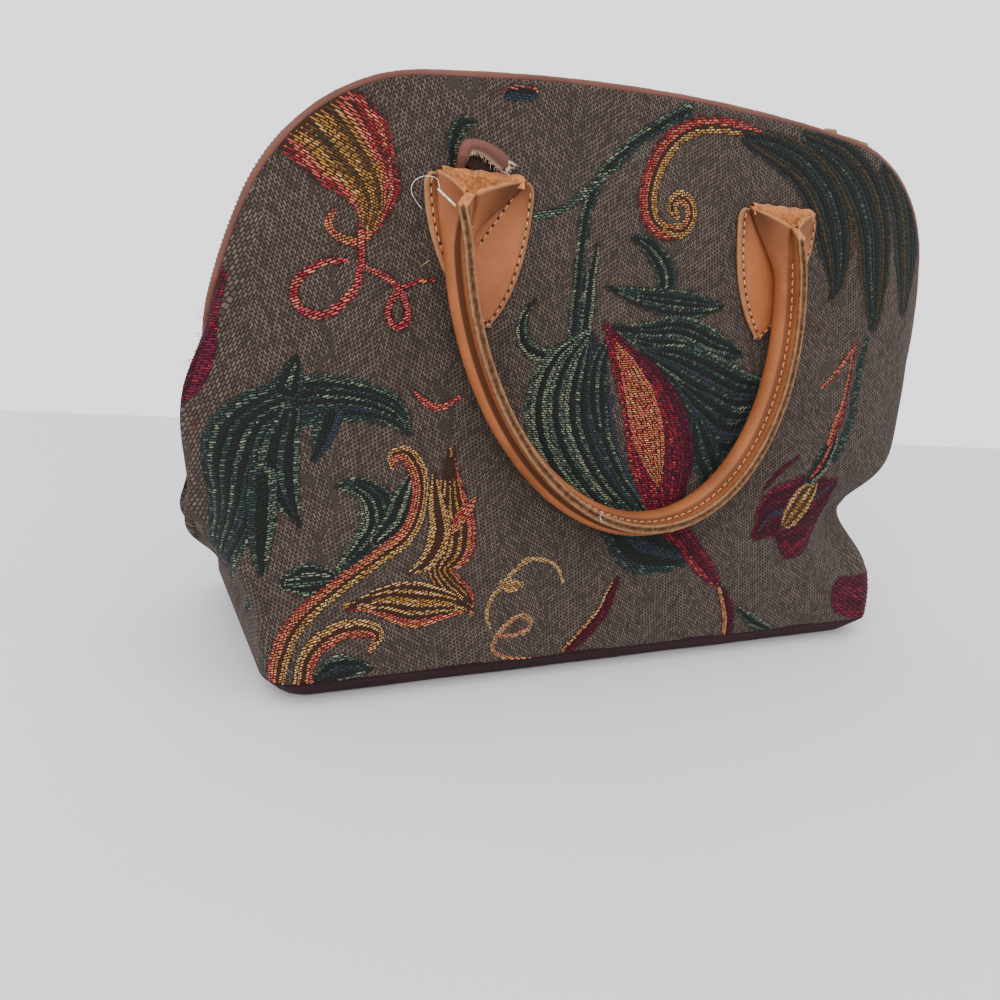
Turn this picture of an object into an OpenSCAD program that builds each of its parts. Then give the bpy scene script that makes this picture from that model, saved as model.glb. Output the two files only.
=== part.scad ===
// Domed tapestry handbag: two wrapped cloth panels, a boxed base, piped zip top and two rolled handles.
// Millimetres, +Z up, +X to the bag's right, the front faces -Y, origin on the floor under the middle

/* [Body] */
// Widest width, over the piping at the sides
body_w = 340; // [330:1:360]
// Height from the floor to the crown of the front piping
body_h = 227; // [215:1:245]
// Width of the base seam, where the panels meet the base
base_w = 296; // [280:1:310]
// Depth of the base seam
base_d = 105; // [96:1:124]
// Corner radius of the base seam
base_corner = 12; // [8:1:20]
// Height of the base seam above the floor
base_seam_z = 10; // [8:0.5:14]
// How far the base draws in from its seam down to the floor, all round
base_draw = 7; // [4:0.5:10]
// Thickness of the tapestry with its lining
cloth_t = 2; // [1.4:0.1:2.6]
// How far the sides cave in above the base, and puff out again below the zip ends
side_tuck = 4.5; // [2:0.5:10]
// How far the front and back belly out
belly = 1.5; // [0:0.1:3]
// Thickness of the stiff board inside the base
board_t = 2.5; // [2:0.1:4]

/* [Dome edge] */
// Radius of the flat crown
crown_r = 800; // [650:5:1000]
// Radius of the shoulders
shoulder_r = 72; // [60:1:90]
// Radius of the upper sides
side_r = 216; // [190:1:260]
// Height at which the sides stand upright
side_top_z = 98.5; // [90:0.5:110]
// Height of the zip ends
zip_end_z = 70; // [55:1:80]
// Diameter of the piping
piping_d = 3.2; // [2.6:0.1:4]
// Distance between the middles of the front and back piping
piping_gap = 13; // [12.5:0.5:20]
// How far the back half of the soft dome has sunk inside the front half
back_sink = 6; // [0:0.5:8]

/* [Zip] */
// Pitch of the zip's coils
coil_pitch = 4; // [3:0.5:6]
// Thickness of the zip's coils
coil_t = 2; // [1.6:0.1:2.4]
// Width of one row of coils
coil_w = 2; // [1.8:0.05:2.3]
// Gap between the two rows, where the slider's neck runs
coil_gap = 1.7; // [1.5:0.1:2]
// Thickness of the zip tape
tape_t = 0.8; // [0.6:0.1:1]
// How far the zip lies below the front piping's middle
zip_drop = 3.1; // [2.9:0.1:4]
// Length of the slider
slider_l = 11; // [9:0.5:14]
// Length of the pull, from its pivot
pull_l = 22; // [16:1:28]
// Width of the pull
pull_w = 6; // [4.5:0.5:8]

/* [Handles] */
// Distance between the handle patches, middle to middle
patch_gap = 135; // [120:1:150]
// How far the patches are sewn off the bag's middle
patch_shift = -8; // [-12:1:12]
// How far the handles are sewn off the bag's middle
handle_shift = -16; // [-22:1:10]
// How far below the crown a handle folds and swings
fold_drop = 37; // [32:1:46]
// Width of a leaf-shaped patch
patch_w = 42; // [36:1:46]
// Length of a leaf-shaped patch
patch_l = 52; // [44:1:58]
// How far the tip of a patch leans towards the bag's middle
tip_in = 5; // [0:0.5:8]
// Thickness of the handle leather
leather_t = 2; // [1.6:0.1:2.4]
// Outer diameter of the rolled handle
roll_d = 10; // [9:0.1:12.5]
// How far the seam fin stands out from the roll
fin_h = 5.4; // [3:0.1:6.5]
// Thickness of the seam fin, two leathers
fin_t = 3.8; // [2.8:0.1:4.2]
// Drop of a handle, from the fold to the middle of the roll at its lowest
drop = 128; // [110:1:140]
// Distance between the legs of a handle at the fold
leg_gap = 147; // [134:1:156]
// Height of the oval bow, from the straight legs to its lowest point
bow_h = 98; // [80:1:108]
// How far the bow hangs off to the right of its legs
sway = 17; // [-20:1:20]
// Width of the funnel mouth at the fold
mouth_w = 36; // [30:1:40]
// Length of the funnel, from the fold to the round roll
funnel_l = 30; // [26:1:40]
// How far the mouth dips from the fold to its front corner
mouth_dip = 12; // [8:1:16]

/* [Torn loop] */
// Width of the loop strap
strap_w = 7; // [5:0.5:9]
// Thickness of the loop strap
strap_t = 1.6; // [1.2:0.1:2]
// Radius of the loop
strap_r = 10; // [8:0.5:13]

/* [Fit] */
// Gap left between pieces that lie on each other
seat = 0.3; // [0.2:0.05:0.4]
// Radial gap of a pin in its hole
pin_fit = 0.1; // [0.05:0.01:0.15]

/* [Hidden] */

tapestry = "#5c4f45";
mauve = "#7a5348";
plum = "#4a2c31";
board_grey = "#8d867c";
tan_leather = "#b5703c";
suede = "#c58f55";
zip_black = "#211d1c";
old_brass = "#8f7a4e";

// Dome edge: crown, shoulder and side arcs that run into each other
crown_c = [0, body_h - crown_r];
side_c = [body_w / 2 - side_r, side_top_z];
crown_to_side = norm(side_c - crown_c);
crown_to_shoulder = crown_r - shoulder_r;
side_to_shoulder = side_r - shoulder_r;
to_side = (side_c - crown_c) / crown_to_side;
shoulder_along = (pow(crown_to_shoulder, 2) - pow(side_to_shoulder, 2) + pow(crown_to_side, 2))
    / (2 * crown_to_side);
shoulder_across = sqrt(pow(crown_to_shoulder, 2) - pow(shoulder_along, 2));
shoulder_c = crown_c + shoulder_along * to_side + shoulder_across * [to_side[1], -to_side[0]];
crown_angle = atan2(shoulder_c[0] - crown_c[0], shoulder_c[1] - crown_c[1]);
shoulder_angle = atan2(shoulder_c[0] - side_c[0], shoulder_c[1] - side_c[1]);

// Where the panels' edges lie against the piping and the side seam
piping_r = piping_d / 2;
piping_y = piping_gap / 2;
panel_inset = piping_d + seat;
panel_edge_y = piping_y + piping_r + seat / 2;
seam_y = seat / 2;
panel_foot_z = base_seam_z + seat / 2;
zip_inset = piping_r + zip_drop;
// Length over which the back half sinks, from a zip end upwards
sink_run = 60;

// Stretches of the panel's upper edge, from the side seam to the middle of the crown
rad = PI / 180;
under_zip_l = panel_edge_y - seam_y;
upright_l = side_top_z - zip_end_z;
dome_l = dome_length(panel_inset);
edge_l = under_zip_l + dome_l;

// Stretches of the base seam, from the side seam to the middle of the front
foot_side_l = base_d / 2 - base_corner - seam_y;
foot_corner_l = base_corner * PI / 2;
foot_l = foot_side_l + foot_corner_l + base_w / 2 - base_corner;
corner_from = foot_side_l / foot_l;
corner_to = (foot_side_l + foot_corner_l) / foot_l;

// Columns and rows of the panel, as shares of the seam and of the height
columns = concat([0],
    [for (i = [0 : 2]) mix(under_zip_l / edge_l, corner_from, i / 3)],
    [for (i = [0 : 3]) mix(corner_from, corner_to, i / 4)],
    [for (i = [0 : 13]) mix(corner_to, 1, i / 13)]);
column_n = 2 * len(columns) - 1;
row_n = 10;

// Planes on which the handles lie: the slope of a panel from foot to edge
edge_z = body_h - panel_inset;
fold_z = body_h - fold_drop;
function panel_rise(sink) = edge_z - sink - panel_foot_z;
function lean(sink) = atan2(base_d / 2 - panel_edge_y, panel_rise(sink));
function fold_y(sink) = mix(base_d / 2, panel_edge_y, (fold_z - panel_foot_z) / panel_rise(sink));
roll_r = roll_d / 2;
// Share of the belly that is left under the patches, near the crown
belly_share = 0.45;
roll_back = belly_share * belly + leather_t + 2 * seat;
roll_n = roll_back + roll_r;
fin_n = roll_r + fin_h;

function mix(a, b, t) = a + (b - a) * t;
function ease(t) = t <= 0 ? 0 : t >= 1 ? 1 : t * t * (3 - 2 * t);
function on_arc(c, r, a) = [c[0] + r * sin(a), c[1] + r * cos(a)];

// Left half of the dome at an inset, by length run from the zip end to the middle of the crown
function dome(run, inset) =
    let (side_run = run - upright_l,
        shoulder_run = side_run - (side_r - inset) * (90 - shoulder_angle) * rad,
        crown_run = shoulder_run - (shoulder_r - inset) * (shoulder_angle - crown_angle) * rad,
        p = side_run < 0 ? [body_w / 2 - inset, zip_end_z + run]
            : shoulder_run < 0 ? on_arc(side_c, side_r - inset, 90 - side_run / (side_r - inset) / rad)
            : crown_run < 0 ? on_arc(shoulder_c, shoulder_r - inset,
                shoulder_angle - shoulder_run / (shoulder_r - inset) / rad)
            : on_arc(crown_c, crown_r - inset, crown_angle - crown_run / (crown_r - inset) / rad))
    [-p[0], p[1]];
function dome_length(inset) = upright_l + rad * ((side_r - inset) * (90 - shoulder_angle)
    + (shoulder_r - inset) * (shoulder_angle - crown_angle) + (crown_r - inset) * crown_angle);
// Whole dome by share of its length, sunk below its inset by more and more above the zip ends
function dome_run(t, inset, sink = 0) =
    let (share = 1 - abs(1 - 2 * t), deep = inset + sink * ease(share * dome_length(inset) / sink_run),
        p = dome(share * dome_length(deep), deep))
    t <= 0.5 ? p : [-p[0], p[1]];

// Skin of the left half of a panel, as on the front: a loft from the base seam to the dome edge
function edge_at(f, sink) =
    let (run = f * edge_l, p = dome_run(max(run - under_zip_l, 0) / dome_l / 2, panel_inset, sink))
    run < under_zip_l ? [panel_inset - body_w / 2, -(seam_y + run), zip_end_z] : [p[0], -panel_edge_y, p[1]];
function foot_at(f) =
    let (run = f * foot_l, turn = (run - foot_side_l) / base_corner / rad,
        front = run - foot_side_l - foot_corner_l)
    turn < 0 ? [-base_w / 2, -(seam_y + run), panel_foot_z]
        : turn < 90 ? [base_corner * (1 - cos(turn)) - base_w / 2,
            base_corner * (1 - sin(turn)) - base_d / 2, panel_foot_z]
        : [base_corner + front - base_w / 2, -base_d / 2, panel_foot_z];
function side_wave(v) = sin(360 * v) * abs(sin(360 * v));
function skin(f, v, sink) = mix(foot_at(f), edge_at(f, sink), v)
    + [side_tuck * side_wave(v) * (1 - ease(f / corner_to)), -belly * sin(180 * v) * ease(f), 0];
function skin_out(f, v, sink) =
    let (step = 0.002, across = skin(min(f + step, 1), v, sink) - skin(max(f - step, 0), v, sink),
        up = skin(f, min(v + step, 1), sink) - skin(f, max(v - step, 0), sink),
        out = cross(across, up), flat = [out[0], out[1], 0])
    f == 0 ? [-1, 0, 0] : f == 1 ? [0, -1, 0] : flat / norm(flat);
function skin_at(i, j, deep, sink) =
    let (k = i < len(columns) ? i : column_n - 1 - i, f = columns[k], v = j / row_n,
        p = skin(f, v, sink) - deep * skin_out(f, v, sink))
    i < len(columns) ? p : [-p[0], p[1], p[2]];

// Depth of a panel at a place near its middle, as seen from outside
function front_share(x, v) = 1 - abs(x) / mix(foot_l, edge_l, v);
function front_height(x, z, sink) =
    let (v = (z - panel_foot_z) / panel_rise(sink), top = edge_at(front_share(x, v), sink)[2])
    (z - panel_foot_z) / (top - panel_foot_z);
function front_y(x, z, sink) = let (v = front_height(x, z, sink)) skin(front_share(x, v), v, sink)[1];

// Triangles of a grid of points, and of the rim between two such grids
function grid_faces(nu, nv, at, turned) = [for (j = [0 : nv - 2], i = [0 : nu - 2], h = [0, 1])
    let (a = at + j * nu + i, b = a + 1, c = a + nu, d = c + 1, t = h == 0 ? [a, c, b] : [b, c, d])
    turned ? [t[0], t[2], t[1]] : t];
function rim_loop(nu, nv) = concat([for (i = [0 : nu - 2]) i], [for (j = [0 : nv - 2]) j * nu + nu - 1],
    [for (i = [nu - 1 : -1 : 1]) (nv - 1) * nu + i], [for (j = [nv - 1 : -1 : 1]) j * nu]);
function band_faces(a, b) = [for (k = [0 : len(a) - 1], h = [0, 1])
    let (m = (k + 1) % len(a)) h == 0 ? [a[k], a[m], b[k]] : [a[m], b[m], b[k]]];

// A sheet between two grids of points, each a list of rows
module sheet(outer, inner) {
    nu = len(outer[0]);
    nv = len(outer);
    loop = rim_loop(nu, nv);
    points = [for (grid = [outer, inner], row = grid, p = row) p];
    polyhedron(points, concat(grid_faces(nu, nv, 0, false), grid_faces(nu, nv, nu * nv, true),
        band_faces(loop, [for (k = loop) k + nu * nv])));
}

// A solid along rings of points, hollow where a second set of rings is given
module sweep(rings, bore = []) {
    n = len(rings[0]);
    m = len(rings);
    ring = function (at, k) [for (i = [0 : n - 1]) at + k * n + i];
    back = function (list) [for (i = [len(list) - 1 : -1 : 0]) list[i]];
    skin_faces = [for (k = [0 : m - 2], f = band_faces(ring(0, k), ring(0, k + 1))) f];
    bore_faces = [for (k = [0 : m - 2], f = band_faces(ring(n * m, k + 1), ring(n * m, k))) f];
    if (len(bore) == 0)
        polyhedron([for (r = rings, p = r) p], concat(skin_faces, [back(ring(0, 0)), ring(0, m - 1)]));
    else
        polyhedron([for (set = [rings, bore], r = set, p = r) p], concat(skin_faces, bore_faces,
            band_faces(ring(n * m, 0), ring(0, 0)), band_faces(ring(0, m - 1), ring(n * m, m - 1))));
}

// Cloth panel from side seam to side seam, from the base seam up to the piping
module panel(sink) {
    grid = function (deep) [for (j = [0 : row_n]) [for (i = [0 : column_n - 1]) skin_at(i, j, deep, sink)]];
    color(tapestry)
        sheet(grid(0), grid(cloth_t));
}
module front_panel() {
    panel(0);
}
module back_panel() {
    mirror([0, 1, 0])
        panel(back_sink);
}

module rounded_plate(w, d, r) {
    square([w - 2 * r, d], center = true);
    square([w, d - 2 * r], center = true);
    for (x = [-1, 1], y = [-1, 1])
        translate([x * (w / 2 - r), y * (d / 2 - r)])
            circle(r, $fn = 20);
}

// Boxed base: a shallow tray that draws in from the seam to the floor
module base_panel() {
    floor_w = base_w - 2 * base_draw;
    floor_d = base_d - 2 * base_draw;
    inner_w = floor_w - 2 * cloth_t;
    inner_d = floor_d - 2 * cloth_t;
    spread = 2 * base_draw;
    color(plum)
        difference() {
            linear_extrude(base_seam_z, scale = [1 + spread / floor_w, 1 + spread / floor_d])
                rounded_plate(floor_w, floor_d, base_corner);
            translate([0, 0, cloth_t])
                linear_extrude(base_seam_z, scale = [1 + spread / inner_w, 1 + spread / inner_d])
                    rounded_plate(inner_w, inner_d, base_corner - cloth_t);
        }
}
module base_board() {
    margin = base_draw + cloth_t + seat;
    color(board_grey)
        translate([0, 0, cloth_t])
            linear_extrude(board_t)
                rounded_plate(base_w - 2 * margin, base_d - 2 * margin, base_corner - cloth_t);
}

// Piping over the dome, from one zip end to the other
module piping(sink) {
    steps = 56;
    sides = 8;
    step = 0.001;
    at = function (t) dome_run(t, piping_r, sink);
    rings = [for (k = [0 : steps])
        let (t = k / steps, p = at(t), d = at(min(t + step, 1)) - at(max(t - step, 0)),
            out = [-d[1], d[0]] / norm(d))
        [for (i = [0 : sides - 1])
            let (a = 360 * i / sides, r = piping_r * cos(a))
            [p[0] + out[0] * r, piping_r * sin(a) - piping_y, p[1] + out[1] * r]]];
    color(mauve)
        sweep(rings);
}
module front_piping() {
    piping(0);
}
module back_piping() {
    mirror([0, 1, 0])
        piping(back_sink);
}

// A band that follows the dome, between two insets, drawn as seen from the front
module dome_band(outer, inner, steps) {
    line = function (inset) [for (k = [0 : steps]) dome_run(k / steps, inset)];
    low = line(inner);
    polygon(concat(line(outer), [for (k = [steps : -1 : 0]) low[k]]));
}
module upright_extrude(y0, y1) {
    translate([0, y1, 0])
        rotate([90, 0, 0])
            linear_extrude(y1 - y0)
                children();
}

coil_from = coil_gap / 2;
coil_to = coil_from + coil_w;
tape_to = piping_y - piping_r - seat;
stop_h = 3;
module zip_tape() {
    color(zip_black)
        upright_extrude(-tape_to, -coil_to)
            dome_band(zip_inset - tape_t / 2, zip_inset + tape_t / 2, 64);
}
module front_zip_tape() {
    zip_tape();
}
module back_zip_tape() {
    mirror([0, 1, 0])
        zip_tape();
}

// One row of coils: a band with a groove between every two coils, the other row half a pitch on
module zip_coil(phase) {
    span = 2 * dome_length(zip_inset);
    end = 2 * stop_h / span;
    count = floor(span * (1 - 2 * end) / coil_pitch);
    groove = 0.6;
    top = zip_inset - coil_t / 2;
    root = top + groove;
    foot = 0.75;
    at = function (k, share, inset) dome_run(mix(end, 1 - end, (k + share) / (count + 1)), inset);
    over = [for (k = [0 : count - 1], q = [[0, root], [foot / 5, top], [foot * 4 / 5, top], [foot, root]])
        at(k + phase, q[0], q[1])];
    under = [for (k = [count - 1 : -1 : 0], q = [foot, 0])
        at(k + phase, q, zip_inset + coil_t / 2)];
    color(zip_black)
        upright_extrude(-coil_to, -coil_from)
            polygon(concat(over, under));
}
module front_zip_coil() {
    zip_coil(0);
}
module back_zip_coil() {
    mirror([0, 1, 0])
        zip_coil(0.5);
}
module zip_stops() {
    color(old_brass)
        for (x = [-1, 1])
            translate([x * (body_w / 2 - zip_inset), 0, zip_end_z + stop_h / 2 + seat])
                cube([coil_t, 2 * coil_to, stop_h], center = true);
}

// The slider rests at the right-hand end of the crown and runs on the crown's arc
slider_wall = 1.2;
slider_lip = 1;
slider_w = 2 * (coil_to + seat + slider_lip);
slider_stand = 2;
slider_angle = crown_angle - (slider_l / 2 + slider_stand) / crown_r / rad;
slider_roof = coil_t / 2 + seat + slider_wall;
bail_r = 0.8;
eye_wall = 0.9;
eye_r = bail_r + pin_fit + eye_wall;
eye_w = 2.6;
bail_z = slider_roof + eye_r + seat;
module on_slider() {
    p = on_arc(crown_c, crown_r - zip_inset, slider_angle);
    translate([p[0], 0, p[1]])
        rotate([0, slider_angle, 0])
            children();
}
module slider_plate() {
    nose = slider_w * 0.72;
    polygon([[-slider_l / 2, -nose / 2], [0, -slider_w / 2], [slider_l / 2, -slider_w / 2],
        [slider_l / 2, slider_w / 2], [0, slider_w / 2], [-slider_l / 2, nose / 2]]);
}
module zip_slider() {
    lip_h = coil_t / 2 - tape_t / 2;
    neck_w = coil_gap - 2 * seat;
    neck_l = 3;
    ear = 1.1;
    ear_y = eye_w / 2 + seat + ear / 2;
    color(old_brass)
        on_slider() {
            for (up = [0, 1])
                mirror([0, 0, up]) {
                    translate([0, 0, coil_t / 2 + seat])
                        linear_extrude(slider_wall)
                            slider_plate();
                    for (side = [0, 1])
                        mirror([0, side, 0])
                            translate([0, slider_w / 2 - slider_lip, tape_t / 2 + seat])
                                cube([slider_l / 2, slider_lip, lip_h + slider_wall]);
                }
            translate([slider_l / 2 - neck_l, -neck_w / 2, -slider_roof])
                cube([neck_l, neck_w, 2 * slider_roof]);
            for (side = [-1, 1])
                translate([0, side * ear_y, 0]) {
                    translate([-eye_r, -ear / 2, slider_roof - slider_wall])
                        cube([2 * eye_r, ear, bail_z - slider_roof + slider_wall]);
                    translate([0, ear / 2, bail_z])
                        rotate([90, 0, 0])
                            cylinder(h = ear, r = eye_r, $fn = 32);
                }
            translate([0, ear_y, bail_z])
                rotate([90, 0, 0])
                    cylinder(h = 2 * ear_y, r = bail_r, $fn = 32);
        }
}

// Flat pull with an eye round the slider's bar and a slot in its free end
module zip_pull() {
    tab_t = 1.4;
    stem_l = slider_l / 2;
    color(old_brass)
        on_slider()
            translate([0, 0, bail_z])
                difference() {
                    union() {
                        translate([0, eye_w / 2, 0])
                            rotate([90, 0, 0])
                                cylinder(h = eye_w, r = eye_r, $fn = 32);
                        translate([0, -eye_w / 2, -tab_t / 2])
                            cube([stem_l + pull_w / 2, eye_w, tab_t]);
                        translate([0, 0, -tab_t / 2])
                            linear_extrude(tab_t)
                                translate([stem_l, 0]) {
                                    translate([pull_w / 2, -pull_w / 2])
                                        square([pull_l - stem_l - pull_w, pull_w]);
                                    for (x = [pull_w / 2, pull_l - stem_l - pull_w / 2])
                                        translate([x, 0])
                                            circle(pull_w / 2, $fn = 32);
                                }
                    }
                    translate([0, eye_w, 0])
                        rotate([90, 0, 0])
                            cylinder(h = 2 * eye_w, r = bail_r + pin_fit, $fn = 32);
                    translate([pull_l - pull_w / 2, 0, -tab_t])
                        cylinder(h = 2 * tab_t, r = pull_w / 4, $fn = 32);
                }
}

// Leaf-shaped patch that lies on a panel: square at the fold, drawn to a blunt tip that leans to the middle
leaf_full = 2.2;
leaf_draw = 0.8;
leaf_tip = 0.09;
function leaf_half(q) = patch_w / 2 * max(pow(1 - pow(q, leaf_full), leaf_draw), leaf_tip);
module patch(side, sink) {
    across = 6;
    down = 9;
    tilt = lean(sink);
    grid = function (lift) [for (j = [down : -1 : 0]) [for (i = [0 : across])
        let (q = j / down, middle = patch_shift + side * (patch_gap / 2 - tip_in * q * q),
            px = middle + leaf_half(q) * (2 * i / across - 1),
            pz = fold_z - leather_t / 2 - patch_l * cos(tilt) * q)
        [px, front_y(px, pz, sink) - lift * cos(tilt), pz + lift * sin(tilt)]]];
    color(tan_leather)
        sheet(grid(seat + leather_t), grid(seat));
}
module front_left_patch() {
    patch(-1, 0);
}
module front_right_patch() {
    patch(1, 0);
}
module back_left_patch() {
    mirror([0, 1, 0])
        patch(-1, back_sink);
}
module back_right_patch() {
    mirror([0, 1, 0])
        patch(1, back_sink);
}

// Middle line of a handle in its own plane: down a straight leg, round the oval bow and up the other leg,
// hanging further to the right the lower it is
bow_top = bow_h - drop;
leg_share = 0.2;
function handle_side(t) = t < 0.5 ? -1 : 1;
function handle_line(t) =
    let (h = min(t, 1 - t), a = 90 * (h - leg_share) / (0.5 - leg_share),
        p = h < leg_share ? [leg_gap / 2, bow_top * h / leg_share]
            : [leg_gap / 2 * cos(a), bow_top - bow_h * sin(a)])
    [handle_side(t) * p[0] - sway * p[1] / drop, p[1]];
leg_steps = leg_share * [0, 0.12, 0.24, 0.36, 0.5, 0.66, 0.83];
handle_steps = concat(leg_steps, [for (i = [0 : 16]) mix(leg_share, 1 - leg_share, i / 16)],
    [for (i = [len(leg_steps) - 1 : -1 : 0]) 1 - leg_steps[i]]);

// Section of the rolled leather: round with a fin in front, opening to a three-cornered mouth at the fold
roll_sides = 9;
roll_open = 125;
function mouth_share(z) = 1 - ease(-z / funnel_l);
roll_step = (540 - 2 * roll_open) / (roll_sides - 1);
function roll_point(i, r) =
    let (a = roll_open + roll_step * i)
    [r * cos(a), r * sin(a)];
function mouth_point(i, half, back, front) =
    let (s = 2 * i / (roll_sides - 1) - 1, turn = max(2 * abs(s) - 1, 0))
    turn == 0 ? [2 * half * s, back] : [sign(s) * mix(half, fin_t / 2, turn), mix(back, front, turn)];
function roll_section(i, m) = mix(roll_point(i, roll_r), mouth_point(i, mouth_w / 2, -roll_r, roll_r), m);
function bore_section(i, m) = mix(roll_point(i, roll_r - leather_t),
    mouth_point(i, mouth_w / 2 - 2 * leather_t, leather_t - roll_r, roll_r - 1.5 * leather_t), m);
// A ring square to the line, that turns level at the mouth and moves over to the middle of its patch there
function handle_ring(t, profile) =
    let (step = 0.001, p = handle_line(t), d = handle_line(min(t + step, 1)) - handle_line(max(t - step, 0)),
        m = mouth_share(p[1]), side = handle_side(t), right = mix([-d[1], d[0]] / norm(d), [-side, 0], m),
        skew = m * (patch_shift - handle_shift + side * (patch_gap - leg_gap) / 2))
    [for (q = profile(m))
        let (front = max(0, min(1, (q[1] + roll_r) / (roll_r + fin_n))))
        [p[0] - right[0] * q[0] + skew * (1 - front), -roll_n - q[1],
            p[1] - right[1] * q[0] - m * mouth_dip * front]];
function roll_profile(m) = concat([for (i = [0 : roll_sides - 1]) roll_section(i, m)],
    [[fin_t / 2, fin_n], [-fin_t / 2, fin_n]]);
function bore_crest(side, m) =
    let (crest = 78)
    mix((roll_r - leather_t) * [side * cos(crest), sin(crest)],
        [side * fin_t / 6, roll_r - 1.5 * leather_t], m);
function bore_profile(m) = concat([for (i = [0 : roll_sides - 1]) bore_section(i, m)],
    [bore_crest(1, m), bore_crest(-1, m)]);
module on_panel_plane(sink) {
    translate([handle_shift, -fold_y(sink), fold_z])
        rotate([-lean(sink), 0, 0])
            children();
}
module handle(sink) {
    rings = [for (t = handle_steps) handle_ring(t, function (m) roll_profile(m))];
    bore = [for (t = handle_steps) handle_ring(t, function (m) bore_profile(m))];
    color(tan_leather)
        on_panel_plane(sink)
            sweep(rings, bore);
}
module front_handle() {
    handle(0);
}
module back_handle() {
    mirror([0, 1, 0])
        handle(back_sink);
}

// Cord inside the roll, from funnel to funnel
module handle_core(sink) {
    core_sides = 8;
    core_r = (roll_r - leather_t) * cos(roll_step / 2) - pin_fit;
    core_from = 0.1;
    round_steps = [for (t = handle_steps) if (mouth_share(handle_line(t)[1]) < core_from) t];
    rings = [for (t = round_steps)
        handle_ring(t, function (m) [for (i = [0 : core_sides - 1])
            let (a = 360 * i / core_sides) [core_r * cos(a), core_r * sin(a)]])];
    color(suede)
        on_panel_plane(sink)
            sweep(rings);
}
module front_handle_core() {
    handle_core(0);
}
module back_handle_core() {
    mirror([0, 1, 0])
        handle_core(back_sink);
}

// Short strap that bows up behind the front left handle, torn off at its right-hand end
module torn_loop() {
    steps = 12;
    from = 205;
    to = 15;
    wide = 1.25 * strap_r;
    flat = [1, 0.8];
    arc = function (r) [for (i = [0 : steps])
        let (a = mix(from, to, i / steps)) r * [flat[0] * cos(a), flat[1] * sin(a)]];
    inner = arc(wide - strap_t);
    color(mauve)
        on_panel_plane(0)
            translate([patch_shift - handle_shift - patch_gap / 2, 0, strap_r / 2])
                rotate([90, 0, 0])
                    linear_extrude(strap_w)
                        polygon(concat(arc(wide), [for (i = [steps : -1 : 0]) inner[i]]));
}

front_panel();
back_panel();
base_panel();
base_board();
front_piping();
back_piping();
front_zip_tape();
back_zip_tape();
front_zip_coil();
back_zip_coil();
zip_stops();
zip_slider();
zip_pull();
front_left_patch();
front_right_patch();
back_left_patch();
back_right_patch();
front_handle();
back_handle();
front_handle_core();
back_handle_core();
torn_loop();
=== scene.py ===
"""Domed tapestry handbag, dressed on its CAD frame: woven cloth with float-stitched leaves and scrolls,
piping, a coil zip and rolled leather handles. Sizes are worked in millimetres and made in metres."""

import math
from types import SimpleNamespace

import bpy
import numpy as np
from bpy.props import FloatProperty, FloatVectorProperty, PointerProperty
from mathutils import Matrix, Vector


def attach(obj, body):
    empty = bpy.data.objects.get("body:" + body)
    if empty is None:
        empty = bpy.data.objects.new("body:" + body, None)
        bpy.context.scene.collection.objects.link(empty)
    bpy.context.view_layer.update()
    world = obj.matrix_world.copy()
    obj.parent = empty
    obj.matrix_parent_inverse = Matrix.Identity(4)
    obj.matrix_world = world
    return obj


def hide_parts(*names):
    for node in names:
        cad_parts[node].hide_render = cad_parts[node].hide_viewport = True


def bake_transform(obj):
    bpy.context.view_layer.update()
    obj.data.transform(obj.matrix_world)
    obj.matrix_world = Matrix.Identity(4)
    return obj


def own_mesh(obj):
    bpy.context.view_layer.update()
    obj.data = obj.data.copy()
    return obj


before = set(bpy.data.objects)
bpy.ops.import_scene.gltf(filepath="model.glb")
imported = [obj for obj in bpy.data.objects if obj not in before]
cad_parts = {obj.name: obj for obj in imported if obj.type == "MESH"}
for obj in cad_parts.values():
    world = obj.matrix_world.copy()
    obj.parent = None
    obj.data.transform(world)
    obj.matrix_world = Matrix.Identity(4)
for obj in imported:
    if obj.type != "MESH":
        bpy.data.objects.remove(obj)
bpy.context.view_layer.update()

bl_info = {
    "name": "Tapestry handbag",
    "version": (1, 0, 0),
    "blender": (4, 5, 0),
    "location": "3D View > Sidebar > Handbag",
    "description": "Dresses the CAD frame of a domed tapestry handbag in cloth, leather, zip and stitching",
    "category": "Add Mesh",
}

MM = 0.001
SEED = 11
HALVES = ("front", "back")
# How far the cloth laps over the piping, how far a patch's seam lies in from its rim, and the share of the
# belly that stands out behind a handle
LAP = 1.6
SEAM_IN = 2.1
BELLY_AT_HANDLE = 0.45


def linear(*rgb):
    """A screen colour, 0 to 255, as the linear light that shaders use."""
    return tuple((c / 255 / 12.92) if c <= 10 else ((c / 255 + 0.055) / 1.055) ** 2.4 for c in rgb)


def length(name, description, size):
    """A length property whose default is given in millimetres."""
    return FloatProperty(name=name, description=description, default=size * MM, unit="LENGTH", precision=4)


def colour(name, description, *rgb):
    """A colour property whose default is given as a screen colour."""
    return FloatVectorProperty(name=name, description=description, default=linear(*rgb), subtype="COLOR",
                               min=0, max=1)


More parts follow.
